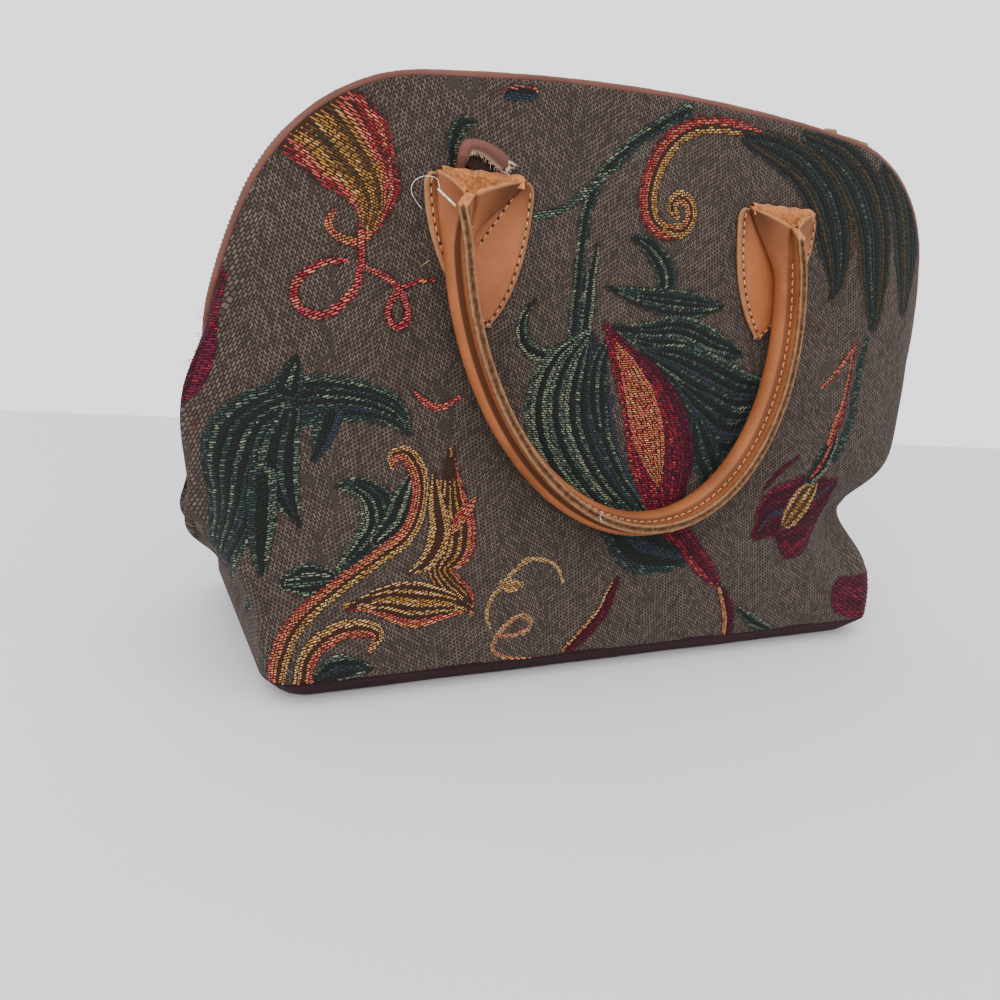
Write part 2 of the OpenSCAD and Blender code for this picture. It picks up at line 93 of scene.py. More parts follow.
class HandbagSizes(bpy.types.PropertyGroup):
    """Sizes of the bag, the same as in its CAD source."""
    body_w: length("Body width", "Widest width over the piping", 340)
    body_h: length("Body height", "Floor to the crown of the piping", 227)
    base_w: length("Base width", "Width of the base seam", 296)
    base_d: length("Base depth", "Depth of the base seam", 105)
    base_corner: length("Base corner", "Corner radius of the base seam", 12)
    base_seam_z: length("Base seam", "Height of the base seam above the floor", 10)
    cloth_t: length("Cloth", "Thickness of the tapestry with its lining", 2)
    side_tuck: length("Side tuck", "How far the sides cave in above the base", 4.5)
    belly: length("Belly", "How far the front and back belly out", 1.5)
    crown_r: length("Crown radius", "Radius of the flat crown", 800)
    shoulder_r: length("Shoulder radius", "Radius of the shoulders", 72)
    side_r: length("Side radius", "Radius of the upper sides", 216)
    side_top_z: length("Upright height", "Height at which the sides stand upright", 98.5)
    zip_end_z: length("Zip ends", "Height of the zip ends", 70)
    piping_d: length("Piping", "Diameter of the piping", 3.2)
    piping_gap: length("Piping gap", "Distance between the two pipings", 13)
    back_sink: length("Back sink", "How far the back half of the dome has sunk inside the front half", 6)
    sink_run: length("Sink run", "Length over which the back half sinks, from a zip end upwards", 60)
    zip_drop: length("Zip drop", "How far the zip lies below the piping's middle", 3.1)
    coil_pitch: length("Coil pitch", "Pitch of the zip's coils", 1.7)
    handle_shift: length("Handle shift", "How far the handles are sewn off the middle", -16)
    patch_gap: length("Patch gap", "Distance between the handle patches", 135)
    patch_shift: length("Patch shift", "How far the patches are sewn off the middle", -8)
    tip_in: length("Tip lean", "How far a patch's tip leans towards the middle", 5)
    fold_z: length("Fold height", "Height of the fold on which a handle swings", 190)
    patch_w: length("Patch width", "Width of a leaf-shaped patch", 42)
    patch_l: length("Patch length", "Length of a leaf-shaped patch", 52)
    leather_t: length("Leather", "Thickness of the handle leather", 2)
    roll_d: length("Roll", "Outer diameter of the rolled handle", 10)
    fin_h: length("Fin height", "How far the seam fin stands out", 5.4)
    fin_t: length("Fin thickness", "Thickness of the seam fin", 3.8)
    drop: length("Drop", "From the fold to the handle's lowest point", 128)
    leg_gap: length("Leg gap", "Distance between a handle's legs at the fold", 147)
    bow_h: length("Bow height", "From the straight legs to the lowest point of the bow", 98)
    sway: length("Sway", "How far the bow hangs off to the right of its legs", 17)
    mouth_w: length("Mouth width", "Width of the funnel mouth", 36)
    funnel_l: length("Funnel length", "From the fold to the round roll", 30)
    mouth_dip: length("Mouth dip", "How far the mouth dips to its front corner", 12)
    seat: length("Seat", "Gap between pieces that lie on each other", 0.3)
    stitch_pitch: length("Stitch pitch", "Pitch of the stitches along the handles", 3.3)


class HandbagColours(bpy.types.PropertyGroup):
    """Dyes of the yarns, leathers and metal."""
    ground: colour("Ground", "Warp of the tapestry ground", 42, 35, 32)
    ground_light: colour("Ground dash", "Light weft dashes of the ground", 100, 88, 80)
    amber: colour("Amber", "Amber yarn", 176, 124, 52)
    gold: colour("Gold", "Old gold yarn", 132, 98, 44)
    cream: colour("Cream", "Cream yarn", 200, 160, 104)
    salmon: colour("Salmon", "Salmon yarn", 212, 122, 90)
    pink: colour("Pink", "Pink yarn", 190, 78, 74)
    red: colour("Red", "Red yarn", 150, 28, 42)
    wine: colour("Wine", "Wine yarn", 70, 15, 33)
    magenta: colour("Magenta", "Magenta yarn", 104, 22, 52)
    teal: colour("Teal", "Dark teal yarn", 40, 58, 57)
    sea: colour("Sea green", "Sea green yarn", 80, 98, 84)
    sage: colour("Sage", "Sage yarn", 128, 136, 110)
    navy: colour("Navy", "Blue-grey yarn", 48, 58, 76)
    olive: colour("Olive", "Olive yarn", 84, 64, 34)
    dusk: colour("Dusk", "Dark dusky green yarn", 48, 50, 42)
    warm_gap: colour("Warm gap", "Dark weft between warm floats", 54, 34, 26)
    cool_gap: colour("Cool gap", "Dark weft between cool floats", 27, 31, 29)
    wine_gap: colour("Wine gap", "Dark weft between wine floats", 52, 14, 26)
    tan: colour("Tan leather", "Grain side of the handles", 148, 88, 52)
    # Dark tan for the handles' cloudy mottle and for their painted shade in funnels, folds and creases
    tan_mottle_and_shade: colour("Tan shade", "Handled and folded places of the handles", 62, 31, 15)
    suede: colour("Suede", "Flesh side of the handle leather", 170, 106, 60)
    raw_edge: colour("Raw edge", "Cut edges of the handle leather", 90, 65, 45)
    pale_edge: colour("Pale edge", "Rubbed rims of cut leather", 194, 140, 96)
    mauve: colour("Piping leather", "Mauve-brown piping and loop", 104, 66, 56)
    plum: colour("Base cloth", "Plum cloth of the base", 38, 20, 23)
    zip_black: colour("Zip", "Zip tape and coils", 24, 20, 19)
    brass: colour("Old brass", "Slider, pull and stops", 150, 124, 78)
    thread: colour("Thread", "Waxed thread of the stitches", 204, 142, 92)
    floor: colour("Floor", "Pale floor", 226, 224, 224)


def bag_shape(context, word):
    """Sizes of the front or back half in millimetres, with the values worked out from them."""
    props = context.scene.handbag_sizes
    g = SimpleNamespace(**{k: getattr(props, k) / MM for k in HandbagSizes.__annotations__})
    g.sink = g.back_sink if word == "back" else 0.0
    g.crown_c = np.array([0, g.body_h - g.crown_r])
    g.side_c = np.array([g.body_w / 2 - g.side_r, g.side_top_z])
    span = np.linalg.norm(g.side_c - g.crown_c)
    to_side = (g.side_c - g.crown_c) / span
    long_r, short_r = g.crown_r - g.shoulder_r, g.side_r - g.shoulder_r
    along = (long_r ** 2 - short_r ** 2 + span ** 2) / (2 * span)
    across = math.sqrt(long_r ** 2 - along ** 2)
    g.shoulder_c = g.crown_c + along * to_side + across * np.array([to_side[1], -to_side[0]])
    g.crown_a = math.atan2(*(g.shoulder_c - g.crown_c))
    g.shoulder_a = math.atan2(*(g.shoulder_c - g.side_c))
    g.piping_r, g.piping_y = g.piping_d / 2, g.piping_gap / 2
    g.inset = g.piping_d + g.seat
    g.edge_y = g.piping_y + g.piping_r + g.seat / 2
    g.seam_y = g.seat / 2
    g.foot_z = g.base_seam_z + g.seat / 2
    g.zip_inset = g.piping_r + g.zip_drop
    g.upright = g.side_top_z - g.zip_end_z
    g.under_zip = g.edge_y - g.seam_y
    g.dome_l = dome_length(g, g.inset)
    g.edge_l = g.under_zip + g.dome_l
    g.foot_side = g.base_d / 2 - g.base_corner - g.seam_y
    g.foot_turn = g.base_corner * math.pi / 2
    g.foot_l = g.foot_side + g.foot_turn + g.base_w / 2 - g.base_corner
    g.corner_to = (g.foot_side + g.foot_turn) / g.foot_l
    g.edge_z = g.body_h - g.inset - g.sink
    g.lean = math.atan2(g.base_d / 2 - g.edge_y, g.edge_z - g.foot_z)
    g.fold_y = g.base_d / 2 + (g.edge_y - g.base_d / 2) * (g.fold_z - g.foot_z) / (g.edge_z - g.foot_z)
    g.roll_r = g.roll_d / 2
    g.roll_back = BELLY_AT_HANDLE * g.belly + g.leather_t + 2 * g.seat
    g.roll_n = g.roll_back + g.roll_r
    g.fin_n = g.roll_r + g.fin_h
    return g


def dome_length(g, inset):
    """Length of half the dome at an inset, from a zip end to the middle of the crown."""
    return (g.upright + (g.side_r - inset) * (math.pi / 2 - g.shoulder_a)
            + (g.shoulder_r - inset) * (g.shoulder_a - g.crown_a) + (g.crown_r - inset) * g.crown_a)


def dome(g, run, inset):
    """Left half of the dome by length run from the zip end: upright, side arc, shoulder arc, crown arc."""
    run = np.asarray(run, float)
    side, shoulder, crown = g.side_r - inset, g.shoulder_r - inset, g.crown_r - inset
    s1 = run - g.upright
    s2 = s1 - side * (math.pi / 2 - g.shoulder_a)
    s3 = s2 - shoulder * (g.shoulder_a - g.crown_a)
    x = g.body_w / 2 - inset + np.zeros(run.shape)
    z = g.zip_end_z + run
    for start, c, r, a in ((s1, g.side_c, side, math.pi / 2 - s1 / side),
                           (s2, g.shoulder_c, shoulder, g.shoulder_a - s2 / shoulder),
                           (s3, g.crown_c, crown, g.crown_a - s3 / crown)):
        x = np.where(start >= 0, c[0] + r * np.sin(a), x)
        z = np.where(start >= 0, c[1] + r * np.cos(a), z)
    return np.stack([-x, z], -1)


def dome_run(g, t, inset, sink=0.0):
    """Whole dome by share of its length, sunk below its inset by more and more above the zip ends."""
    t = np.asarray(t, float)
    share = 1 - np.abs(1 - 2 * t)
    deep = inset + sink * ease(share * dome_length(g, inset) / g.sink_run)
    p = dome(g, share * dome_length(g, deep), deep)
    return np.stack([np.where(t > 0.5, -p[..., 0], p[..., 0]), p[..., 1]], -1)


def ease(t):
    """A soft step: 0 below 0 and 1 above 1."""
    t = np.clip(t, 0, 1)
    return t * t * (3 - 2 * t)


def unit(vectors):
    """Vectors brought to length 1."""
    return vectors / np.linalg.norm(vectors, axis=-1, keepdims=True)


def square_to(line):
    """Unit vectors square to a flat line, on the left of the way it runs."""
    d = np.gradient(line, axis=0)
    return unit(np.stack([-d[:, 1], d[:, 0]], -1))


def lengths(line):
    """Length along a line to each of its points."""
    return np.concatenate([[0], np.cumsum(np.linalg.norm(np.diff(line, axis=0), axis=1))])


def at_lengths(s, run, field):
    """Values of a field along a line at the lengths s, where run is the length to each point."""
    return np.stack([np.interp(s, run, column) for column in field.T], -1)


def skin(g, f, v):
    """Left half of a panel as on the front: a loft from the base seam (v 0) to the dome edge (v 1)."""
    run = f * g.edge_l
    p = dome_run(g, np.maximum(run - g.under_zip, 0) / g.dome_l / 2, g.inset - LAP, g.sink)
    low = run < g.under_zip
    edge = np.stack([np.where(low, g.inset - g.body_w / 2, p[..., 0]),
                     np.where(low, -(g.seam_y + run), -g.edge_y),
                     np.where(low, g.zip_end_z, p[..., 1])], -1)
    run = f * g.foot_l
    turn = np.clip((run - g.foot_side) / g.base_corner, 0, math.pi / 2)
    front = np.maximum(run - g.foot_side - g.foot_turn, 0)
    foot = np.stack([g.base_corner * (1 - np.cos(turn)) + front - g.base_w / 2,
                     -g.seam_y - np.minimum(run, g.foot_side) - g.base_corner * np.sin(turn),
                     np.full(f.shape, g.foot_z)], -1)
    wave = np.sin(2 * np.pi * v)
    move = np.stack([g.side_tuck * wave * np.abs(wave) * (1 - ease(f / g.corner_to)),
                     -g.belly * np.sin(np.pi * v) * ease(f), np.zeros(f.shape)], -1)
    return foot + (edge - foot) * v[..., None] + move


# Soft places of the cloth: where on the unrolled panel, how wide and tall, which way they move and how far
LEFT_PUFF = ((-168, 106), (17, 38), (-0.95, -0.3, 0.0), 10.5)
SLUMPS = [
    ((-163, 40), (14, 13), (-0.95, -0.1, 0.0), 5.5),
    ((150, 46), (30, 17), (-0.86, 0.5, 0.0), 21),
    ((128, 40), (22, 13), (-0.1, 1.0, 0.0), 4),
    ((-151, 44), (5, 42), (-0.6, -0.8, 0.0), 2.6),
    ((-142, 50), (9, 40), (0.3, 0.95, 0.0), 2.2),
    ((-166, 24), (11, 12), (0.9, 0.2, 0.0), 4),
    ((-120, 8), (60, 6), (0.0, -1.0, 0.1), 1.2),
    ((60, 8), (70, 6), (0.0, -1.0, 0.1), 1.4),
    ((-20, 205), (60, 9), (0.0, 1.0, 0.0), 1.2),
    ((20, 40), (70, 26), (0.0, -1.0, 0.0), 2.2),
    ((95, 120), (24, 60), (0.0, 1.0, 0.0), 2.0),
    ((-120, 120), (26, 40), (0.0, -1.0, 0.0), 1.2),
]
# How soon the soft places set in from a seam, and how much more slowly below the right end of the zip
SEAM_HOLD = 9
RIGHT_HOLD = 3.5
PANEL_HALF = 150
PANEL_ROWS = 170
# Search for a place on the cloth: grid steps between first guesses, places at a time, turns, and what is near
GUESS_EVERY = 10
PLACES_AT_ONCE = 4000
SEARCH_TURNS = 8
FOUND_WITHIN = 0.4


class Panel:
    """The front panel as a grid of points, with each point's place on the unrolled cloth."""

    def __init__(self, g, slumps):
        f, v = np.meshgrid(np.linspace(0, 1, PANEL_HALF + 1), np.linspace(0, 1, PANEL_ROWS + 1))
        left = skin(g, f, v)
        right = left[:, -2::-1] * [-1, 1, 1]
        p = np.concatenate([left, right], axis=1)
        self.u, self.w = self.unroll(p)
        top_hold = SEAM_HOLD + (RIGHT_HOLD - SEAM_HOLD) * ease((self.u - 60) / 60)
        hold = np.minimum(1, np.minimum(v[:, :1] * SEAM_HOLD, (1 - v[:, :1]) * top_hold))
        for (u, w), (ru, rw), way, deep in slumps:
            bump = np.exp(-(((self.u - u) / ru) ** 2 + ((self.w - w) / rw) ** 2))
            p = p + (bump * hold * deep)[..., None] * np.array(way)
        rumple = 0.35 * np.sin(self.u * 0.11 + 1.3 * np.sin(self.w * 0.06)) * np.sin(self.w * 0.09 + 0.7)
        self.points = p + rumple[..., None] * np.array([0, -1.0, 0])
        self.weave = np.stack([*self.unroll(self.points), np.zeros(self.u.shape)], -1)
        across, up = np.gradient(self.points, axis=1), np.gradient(self.points, axis=0)
        self.out = unit(np.cross(across, up))
        self.slopes = [np.gradient(k, axis=a) for k in (self.u, self.w) for a in (1, 0)]

    @staticmethod
    def unroll(p):
        """Runs out from the middle along each row, measuring level and up the slope."""
        across, up = np.gradient(p, axis=1), np.gradient(p, axis=0)
        out = unit(np.cross(across, up))
        level = unit(np.cross([0, 0, 1.0], out))
        rise = np.cross(out, level)
        mid = p.shape[1] // 2
        u, w = np.zeros(p.shape[:2]), np.zeros(p.shape[:2])
        w[1:, mid] = np.cumsum(np.linalg.norm(np.diff(p[:, mid], axis=0), axis=1))
        for step, stop in ((1, p.shape[1]), (-1, -1)):
            for i in range(mid + step, stop, step):
                d = p[:, i] - p[:, i - step]
                u[:, i] = u[:, i - step] + np.sum(d * (level[:, i] + level[:, i - step]), axis=1) / 2
                w[:, i] = w[:, i - step] + np.sum(d * (rise[:, i] + rise[:, i - step]), axis=1) / 2
        return u, w

    def sample(self, field, a, b):
        """A field of the grid at fractional columns a and rows b."""
        rows, cols = field.shape[:2]
        i, j = np.clip(a.astype(int), 0, cols - 2), np.clip(b.astype(int), 0, rows - 2)
        s, t = a - i, b - j
        if field.ndim == 3:
            s, t = s[:, None], t[:, None]
        low = field[j, i] * (1 - s) + field[j, i + 1] * s
        return low * (1 - t) + (field[j + 1, i] * (1 - s) + field[j + 1, i + 1] * s) * t

    def locate(self, q):
        """Fractional columns and rows of places on the unrolled cloth, and which of them lie on it."""
        u, w = (k[::GUESS_EVERY, ::GUESS_EVERY] for k in (self.u, self.w))
        near = np.stack([u.ravel(), w.ravel()], -1)
        a, b = np.zeros(len(q)), np.zeros(len(q))
        for k in range(0, len(q), PLACES_AT_ONCE):
            part = slice(k, k + PLACES_AT_ONCE)
            best = np.argmin(((q[part, None] - near[None]) ** 2).sum(-1), axis=1)
            b[part], a[part] = np.array(divmod(best, u.shape[1])) * GUESS_EVERY
        rows, cols = self.u.shape
        for _ in range(SEARCH_TURNS):
            ua, ub, wa, wb = (self.sample(k, a, b) for k in self.slopes)
            eu, ew = q[:, 0] - self.sample(self.u, a, b), q[:, 1] - self.sample(self.w, a, b)
            det = ua * wb - ub * wa
            a = np.clip(a + (eu * wb - ew * ub) / det, 0, cols - 1)
            b = np.clip(b + (ua * ew - wa * eu) / det, 0, rows - 1)
        off = np.hypot(q[:, 0] - self.sample(self.u, a, b), q[:, 1] - self.sample(self.w, a, b))
        return a, b, off < FOUND_WITHIN


_made = {}


def half_of(context, word):
    """The shape of the front or back half and its panel, worked out once."""
    if word not in _made:
        g = bag_shape(context, word)
        _made[word] = (g, Panel(g, [LEFT_PUFF] * (word == "front") + SLUMPS))
    return _made[word]


def set_side(word, points, faces):
    """Points and faces made as on the front, put on the half they belong to."""
    if word == "front":
        return points, faces
    return np.asarray(points) * [1, -1, 1], [list(f)[::-1] for f in faces]


class Val:
    """A number in a material's nodes. Maths on it adds Math nodes."""

    def __init__(self, finish, socket):
        self.finish, self.socket = finish, socket

    def math(self, operation, *terms):
        return self.finish.node("ShaderNodeMath", {"operation": operation}, dict(enumerate(terms)))

    def __add__(self, other):
        return self.math("ADD", self, other)

    def __radd__(self, other):
        return self.math("ADD", other, self)

    def __sub__(self, other):
        return self.math("SUBTRACT", self, other)

    def __rsub__(self, other):
        return self.math("SUBTRACT", other, self)

    def __mul__(self, other):
        return self.math("MULTIPLY", self, other)

    def __rmul__(self, other):
        return self.math("MULTIPLY", other, self)

    def __truediv__(self, other):
        return self.math("DIVIDE", self, other)

    def fract(self):
        return self.math("FRACT", self)

    def floor(self):
        return self.math("FLOOR", self)

    def sin(self):
        return self.math("SINE", self)

    def between(self, low, high):
        """0 below low and 1 above high, with a soft step between."""
        return self.finish.node("ShaderNodeMapRange", {"interpolation_type": "SMOOTHSTEP"},
                                {"Value": self, "From Min": low, "From Max": high})

    def hump(self):
        """A round hump for a share that runs from 0 to 1."""
        return 4 * self * (1 - self)


class Finish:
    """A material made from nodes."""

    def __init__(self, name, **constants):
        self.material = bpy.data.materials.new(name)
        self.material.use_nodes = True
        self.tree = self.material.node_tree
        self.shader = self.tree.nodes["Principled BSDF"]
        for socket, value in constants.items():
            self.shader.inputs[socket.replace("_", " ")].default_value = value

    def node(self, kind, settings=None, sockets=None, out=0):
        """Adds a node: its settings first, then the values or links of its sockets."""
        made = self.tree.nodes.new(kind)
        for key, value in (settings or {}).items():
            setattr(made, key, value)
        for key, value in (sockets or {}).items():
            self.put(made.inputs[key], value)
        return Val(self, made.outputs[out])

    def put(self, socket, value):
        if isinstance(value, Val):
            self.tree.links.new(value.socket, socket)
        elif socket.type == "RGBA" and len(value) == 3:
            socket.default_value = (*value, 1)
        else:
            socket.default_value = value

    def attribute(self, name, out="Fac"):
        return self.node("ShaderNodeAttribute", {"attribute_name": name}, out=out)

    def place(self):
        return self.node("ShaderNodeTexCoord", out="Object")

    def noise(self, scale, detail=2.0, where=None):
        sockets = {"Scale": scale, "Detail": detail, "Vector": where or self.place()}
        return self.node("ShaderNodeTexNoise", None, sockets)

    def cells(self, scale, where=None):
        return self.node("ShaderNodeTexVoronoi", None, {"Scale": scale, "Vector": where or self.place()})

    def mix(self, share, a, b):
        return self.node("ShaderNodeMix", {"data_type": "RGBA"}, {0: share, 6: a, 7: b}, out=2)

    def feed(self, socket, value):
        self.put(self.shader.inputs[socket], value)

    def bump(self, height, strength, distance):
        sockets = {"Height": height, "Strength": strength, "Distance": distance}
        self.feed("Normal", self.node("ShaderNodeBump", None, sockets))


def dyes(context):
    """The dyes as plain linear colours."""
    props = context.scene.handbag_colours
    return SimpleNamespace(**{k: tuple(getattr(props, k)) for k in HandbagColours.__annotations__})


def shade(rgb, share):
    """A colour times a share."""
    return tuple(c * share for c in rgb)


def tapestry_finish(c):
    """Dark herringbone ground of short steep weft dashes, darker under the floats."""
    m = Finish("tapestry", Roughness=0.95, Sheen_Weight=0.05, Specular_IOR_Level=0.05)
    axes = m.attribute("weave", "Vector")
    u = m.node("ShaderNodeSeparateXYZ", None, {0: axes}, out="X")
    w = m.node("ShaderNodeSeparateXYZ", None, {0: axes}, out="Y")
    under, motif = m.attribute("under", "Color"), m.attribute("motif")
    sway = m.noise(0.06, 1.0, axes)
    side = 1 - 2 * (u / 46 + 0.6 * sway).fract().between(0.48, 0.52)
    lane = (0.9 * u + 0.42 * side * w + 1.2 * sway) / 0.86
    step = (0.9 * w - 0.42 * side * u) / 2.5 + 0.5 * lane.floor()
    cell = m.node("ShaderNodeCombineXYZ", None, {0: lane.floor(), 1: step.floor()})
    chance = m.node("ShaderNodeTexWhiteNoise", {"noise_dimensions": "2D"}, {"Vector": cell})
    dash = lane.fract().hump().between(0.1, 1.0) * step.fract().hump().between(0.1, 0.8)
    fuzz = m.noise(1.9, 3.0, axes)
    patchy = m.noise(0.035, 2.0, axes)
    lit = dash * (0.25 + 0.75 * chance) * (0.6 + 0.6 * fuzz) * (0.7 + 0.6 * patchy)
    ground = m.mix(lit, shade(c.ground, 0.85), c.ground_light)
    deep = m.mix(lit, shade(c.ground, 0.6), under)
    m.feed("Base Color", m.mix(motif, ground, m.mix(0.7, deep, under)))
    m.bump((dash * (0.5 + 0.5 * chance) + 0.5 * fuzz) * (1 - 0.6 * motif), 0.6, 0.0005)
    return m.material


def yarn_finish():
    """Float yarn in the dye of each thread, with the strands' fine streaks."""
    m = Finish("float_yarn", Roughness=0.6, Sheen_Weight=0.04, Specular_IOR_Level=0.12)
    dye = m.attribute("dye", "Color")
    strand = m.noise(1100.0, 2.0)
    m.feed("Base Color", m.mix(strand.between(0.3, 0.7), m.mix(0.4, dye, (0.006, 0.005, 0.005)), dye))
    m.bump(strand, 0.4, 0.0003)
    return m.material


def grain_finish(name, face, dark, worn, rim, gloss, cell=700.0):
    """Grained leather: fine pores, cloudy colour, painted shade where an attribute marks it, and rubbed raw
    places.
    """
    m = Finish(name, Specular_IOR_Level=0.16)
    cloud, blotch = m.noise(28.0, 4.0), m.noise(140.0, 3.0)
    pores, crease = m.cells(cell), m.noise(60.0, 6.0)
    raw, tone, pale = m.attribute("raw"), m.attribute("tone"), m.attribute("pale")
    grainy = m.mix(cloud.between(0.3, 0.75) * 0.5, face, dark)
    grainy = m.mix(blotch.between(0.52, 0.8) * 0.35, grainy, shade(face, 1.35))
    # Painted shade: the shade attribute draws the leather towards its dark colour.
    grainy = m.mix(tone, grainy, dark)
    fibre = m.mix(m.noise(500.0, 4.0).between(0.35, 0.65), shade(worn, 0.42), shade(worn, 1.2))
    m.feed("Base Color", m.mix(pale * (0.45 + 0.8 * blotch), m.mix(raw, grainy, fibre), rim))
    m.feed("Roughness", gloss + 0.2 * blotch + 0.5 * raw + 0.35 * tone)
    m.bump(0.5 * pores + 0.9 * crease + 0.4 * blotch, 0.28, 0.0007)
    return m.material


def suede_finish(c):
    """Flesh side of the leather: orange-tan, rough and hairy."""
    m = Finish("suede", Roughness=0.95, Sheen_Weight=0.1, Specular_IOR_Level=0.05)
    nap, clump = m.noise(700.0, 5.0), m.noise(160.0, 3.0)
    dark = m.mix(clump.between(0.35, 0.7), shade(c.suede, 0.5), c.suede)
    m.feed("Base Color", m.mix(nap.between(0.3, 0.75), dark, shade(c.suede, 1.2)))
    m.bump(nap + 1.5 * clump, 0.8, 0.0012)
    return m.material


def woven_finish(name, face, pitch, rough=0.9):
    """Plain close-woven cloth or tape."""
    m = Finish(name, Roughness=rough, Sheen_Weight=0.03, Specular_IOR_Level=0.05)
    where = m.place()
    x, y, z = (m.node("ShaderNodeSeparateXYZ", None, {0: where}, out=k) for k in "XYZ")
    warp = ((x + 0.37 * z) * (6.2832 / pitch)).sin()
    weft = ((y + 0.61 * z) * (6.2832 / pitch)).sin()
    weave = 0.5 + 0.5 * warp * weft
    cloud = m.noise(22.0, 3.0)
    tone = m.mix(cloud.between(0.3, 0.75), shade(face, 0.75), shade(face, 1.2))
    m.feed("Base Color", m.mix(weave * 0.5, tone, shade(face, 1.6)))
    m.bump(weave + 0.6 * m.noise(900.0, 2.0), 0.5, 0.0004)
    return m.material


def plain_finish(name, face, rough, metal=0.0, scale=300.0, low=0.6):
    """A small part's finish: tarnish, dust and fine scratches by noise."""
    m = Finish(name, Metallic=metal, Specular_IOR_Level=0.5)
    spots, fine = m.noise(scale, 4.0), m.noise(scale * 6, 3.0)
    m.feed("Base Color", m.mix(spots.between(0.3, 0.75), shade(face, low), shade(face, 1.75 - low)))
    m.feed("Roughness", rough + 0.25 * spots)
    m.bump(fine, 0.15, 0.0002)
    return m.material


_finishes = {}


def finish_of(context, name):
    """A finish by its name, made the first time it is asked for."""
    if name not in _finishes:
        c = dyes(context)
        makers = {
            "tapestry": lambda: tapestry_finish(c),
            "yarn": yarn_finish,
            # The dark colour of each leather serves its cloudy mottle and its painted shade
            "tan": lambda: grain_finish("tan_leather", c.tan, c.tan_mottle_and_shade, c.raw_edge, c.pale_edge, 0.34),
            "suede": lambda: suede_finish(c),
            "mauve": lambda: grain_finish("mauve_leather", c.mauve, shade(c.mauve, 0.3),
                                          shade(c.mauve, 0.8), linear(214, 186, 166), 0.46, 900.0),
            "plum": lambda: woven_finish("plum_cloth", c.plum, 0.0009),
            "tape": lambda: woven_finish("zip_tape", c.zip_black, 0.0007),
            "coil": lambda: plain_finish("zip_coil", c.zip_black, 0.35),
            "brass": lambda: plain_finish("old_brass", c.brass, 0.32, 0.9),
            "board": lambda: plain_finish("grey_board", linear(140, 132, 122), 0.85),
            "thread": lambda: plain_finish("waxed_thread", c.thread, 0.6, 0.0, 900.0),
            "white": lambda: plain_finish("white_thread", linear(218, 206, 198), 0.8, 0.0, 900.0),
            # Needle holes and the dark sheet under the loop's arch: painted shade
            "hole": lambda: plain_finish("needle_hole", linear(44, 24, 16), 0.9, 0.0, 900.0),
            "floor": lambda: plain_finish("pale_floor", c.floor, 0.55, 0.0, 3.0, 0.86),
        }
        _finishes[name] = makers[name]()
    return _finishes[name]


def quads(rows, cols, around=False):
    """Faces of a grid of points, row by row, closed round each row if asked."""
    wide = cols if around else cols - 1
    j, i = np.meshgrid(np.arange(rows - 1), np.arange(wide), indexing="ij")
    k = (i + 1) % cols
    a, b, c, d = j * cols + i, j * cols + k, (j + 1) * cols + k, (j + 1) * cols + i
    return np.stack([a, b, c, d], -1).reshape(-1, 4)


def shut_ends(rings, sides):
    """Faces of a roll of rings with both ends closed."""
    ends = [list(range(sides))[::-1], list(range((rings - 1) * sides, rings * sides))]
    return quads(rings, sides, True).tolist() + ends


def rim_of(rows, cols):
    """Indices round the rim of a grid of points."""
    grid = np.arange(rows * cols).reshape(rows, cols)
    return np.concatenate([grid[0, :-1], grid[:-1, -1], grid[-1, :0:-1], grid[:0:-1, 0]])


def edge_faces(rim, apart):
    """Faces from a closed rim of points to the same rim of a second grid, so many indices on."""
    after = np.roll(rim, -1)
    return np.stack([rim, after, apart + after, apart + rim], -1)


class Build:
    """Collects points and faces of one piece, with the fields its material reads."""

    def __init__(self):
        self.points, self.faces, self.fields, self.slots, self.count = [], [], {}, [], 0

    def add(self, points, faces, slot=0, **fields):
        """Put in points with their faces, the finish slot and values per point."""
        points = np.asarray(points, float).reshape(-1, 3)
        self.points.append(points)
        self.faces += [[int(k) + self.count for k in f] for f in faces]
        self.slots += [slot] * len(faces)
        for key, value in fields.items():
            value = np.asarray(value, float)
            if value.ndim <= 1 and value.size in (3, 4) and value.size != len(points):
                value = np.tile(value, (len(points), 1))
            elif value.ndim == 0:
                value = np.full(len(points), float(value))
            self.fields.setdefault(key, []).append((self.count, value))
        self.count += len(points)

    def mesh(self, name, materials):
        """Make a mesh object of all that was put in."""
        points = np.concatenate(self.points)
        mesh = bpy.data.meshes.new(name)
        mesh.from_pydata((points * MM).tolist(), [], self.faces)
        for key, parts in self.fields.items():
            width = 1 if parts[0][1].ndim == 1 else parts[0][1].shape[1]
            kind, data = {1: ("FLOAT", "value"), 3: ("FLOAT_VECTOR", "vector"),
                          4: ("FLOAT_COLOR", "color")}[width]
            whole = np.zeros((len(points), width))
            for start, value in parts:
                whole[start:start + len(value)] = value.reshape(len(value), width)
            mesh.attributes.new(key, kind, "POINT").data.foreach_set(data, whole.ravel())
        for material in materials:
            mesh.materials.append(material)
        mesh.polygons.foreach_set("material_index", self.slots)
        mesh.polygons.foreach_set("use_smooth", [True] * len(self.faces))
        if mesh.validate():
            raise RuntimeError(f"{name} has faces that don't close up")
        mesh.update()
        made = bpy.data.objects.new(name, mesh)
        bpy.context.scene.collection.objects.link(made)
        return made

    def piece(self, context, name, finishes, body, slot, *nodes):
        """Make the mesh, parent it to the body it rides on, and hide the CAD nodes it stands for."""
        made = self.mesh(name, [finish_of(context, k) for k in finishes])
        if body:
            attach(made, body)
        if nodes:
            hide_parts(*nodes)
        return made


def rgba(rgb):
    """A colour with full alpha."""
    return np.array([*rgb, 1.0])


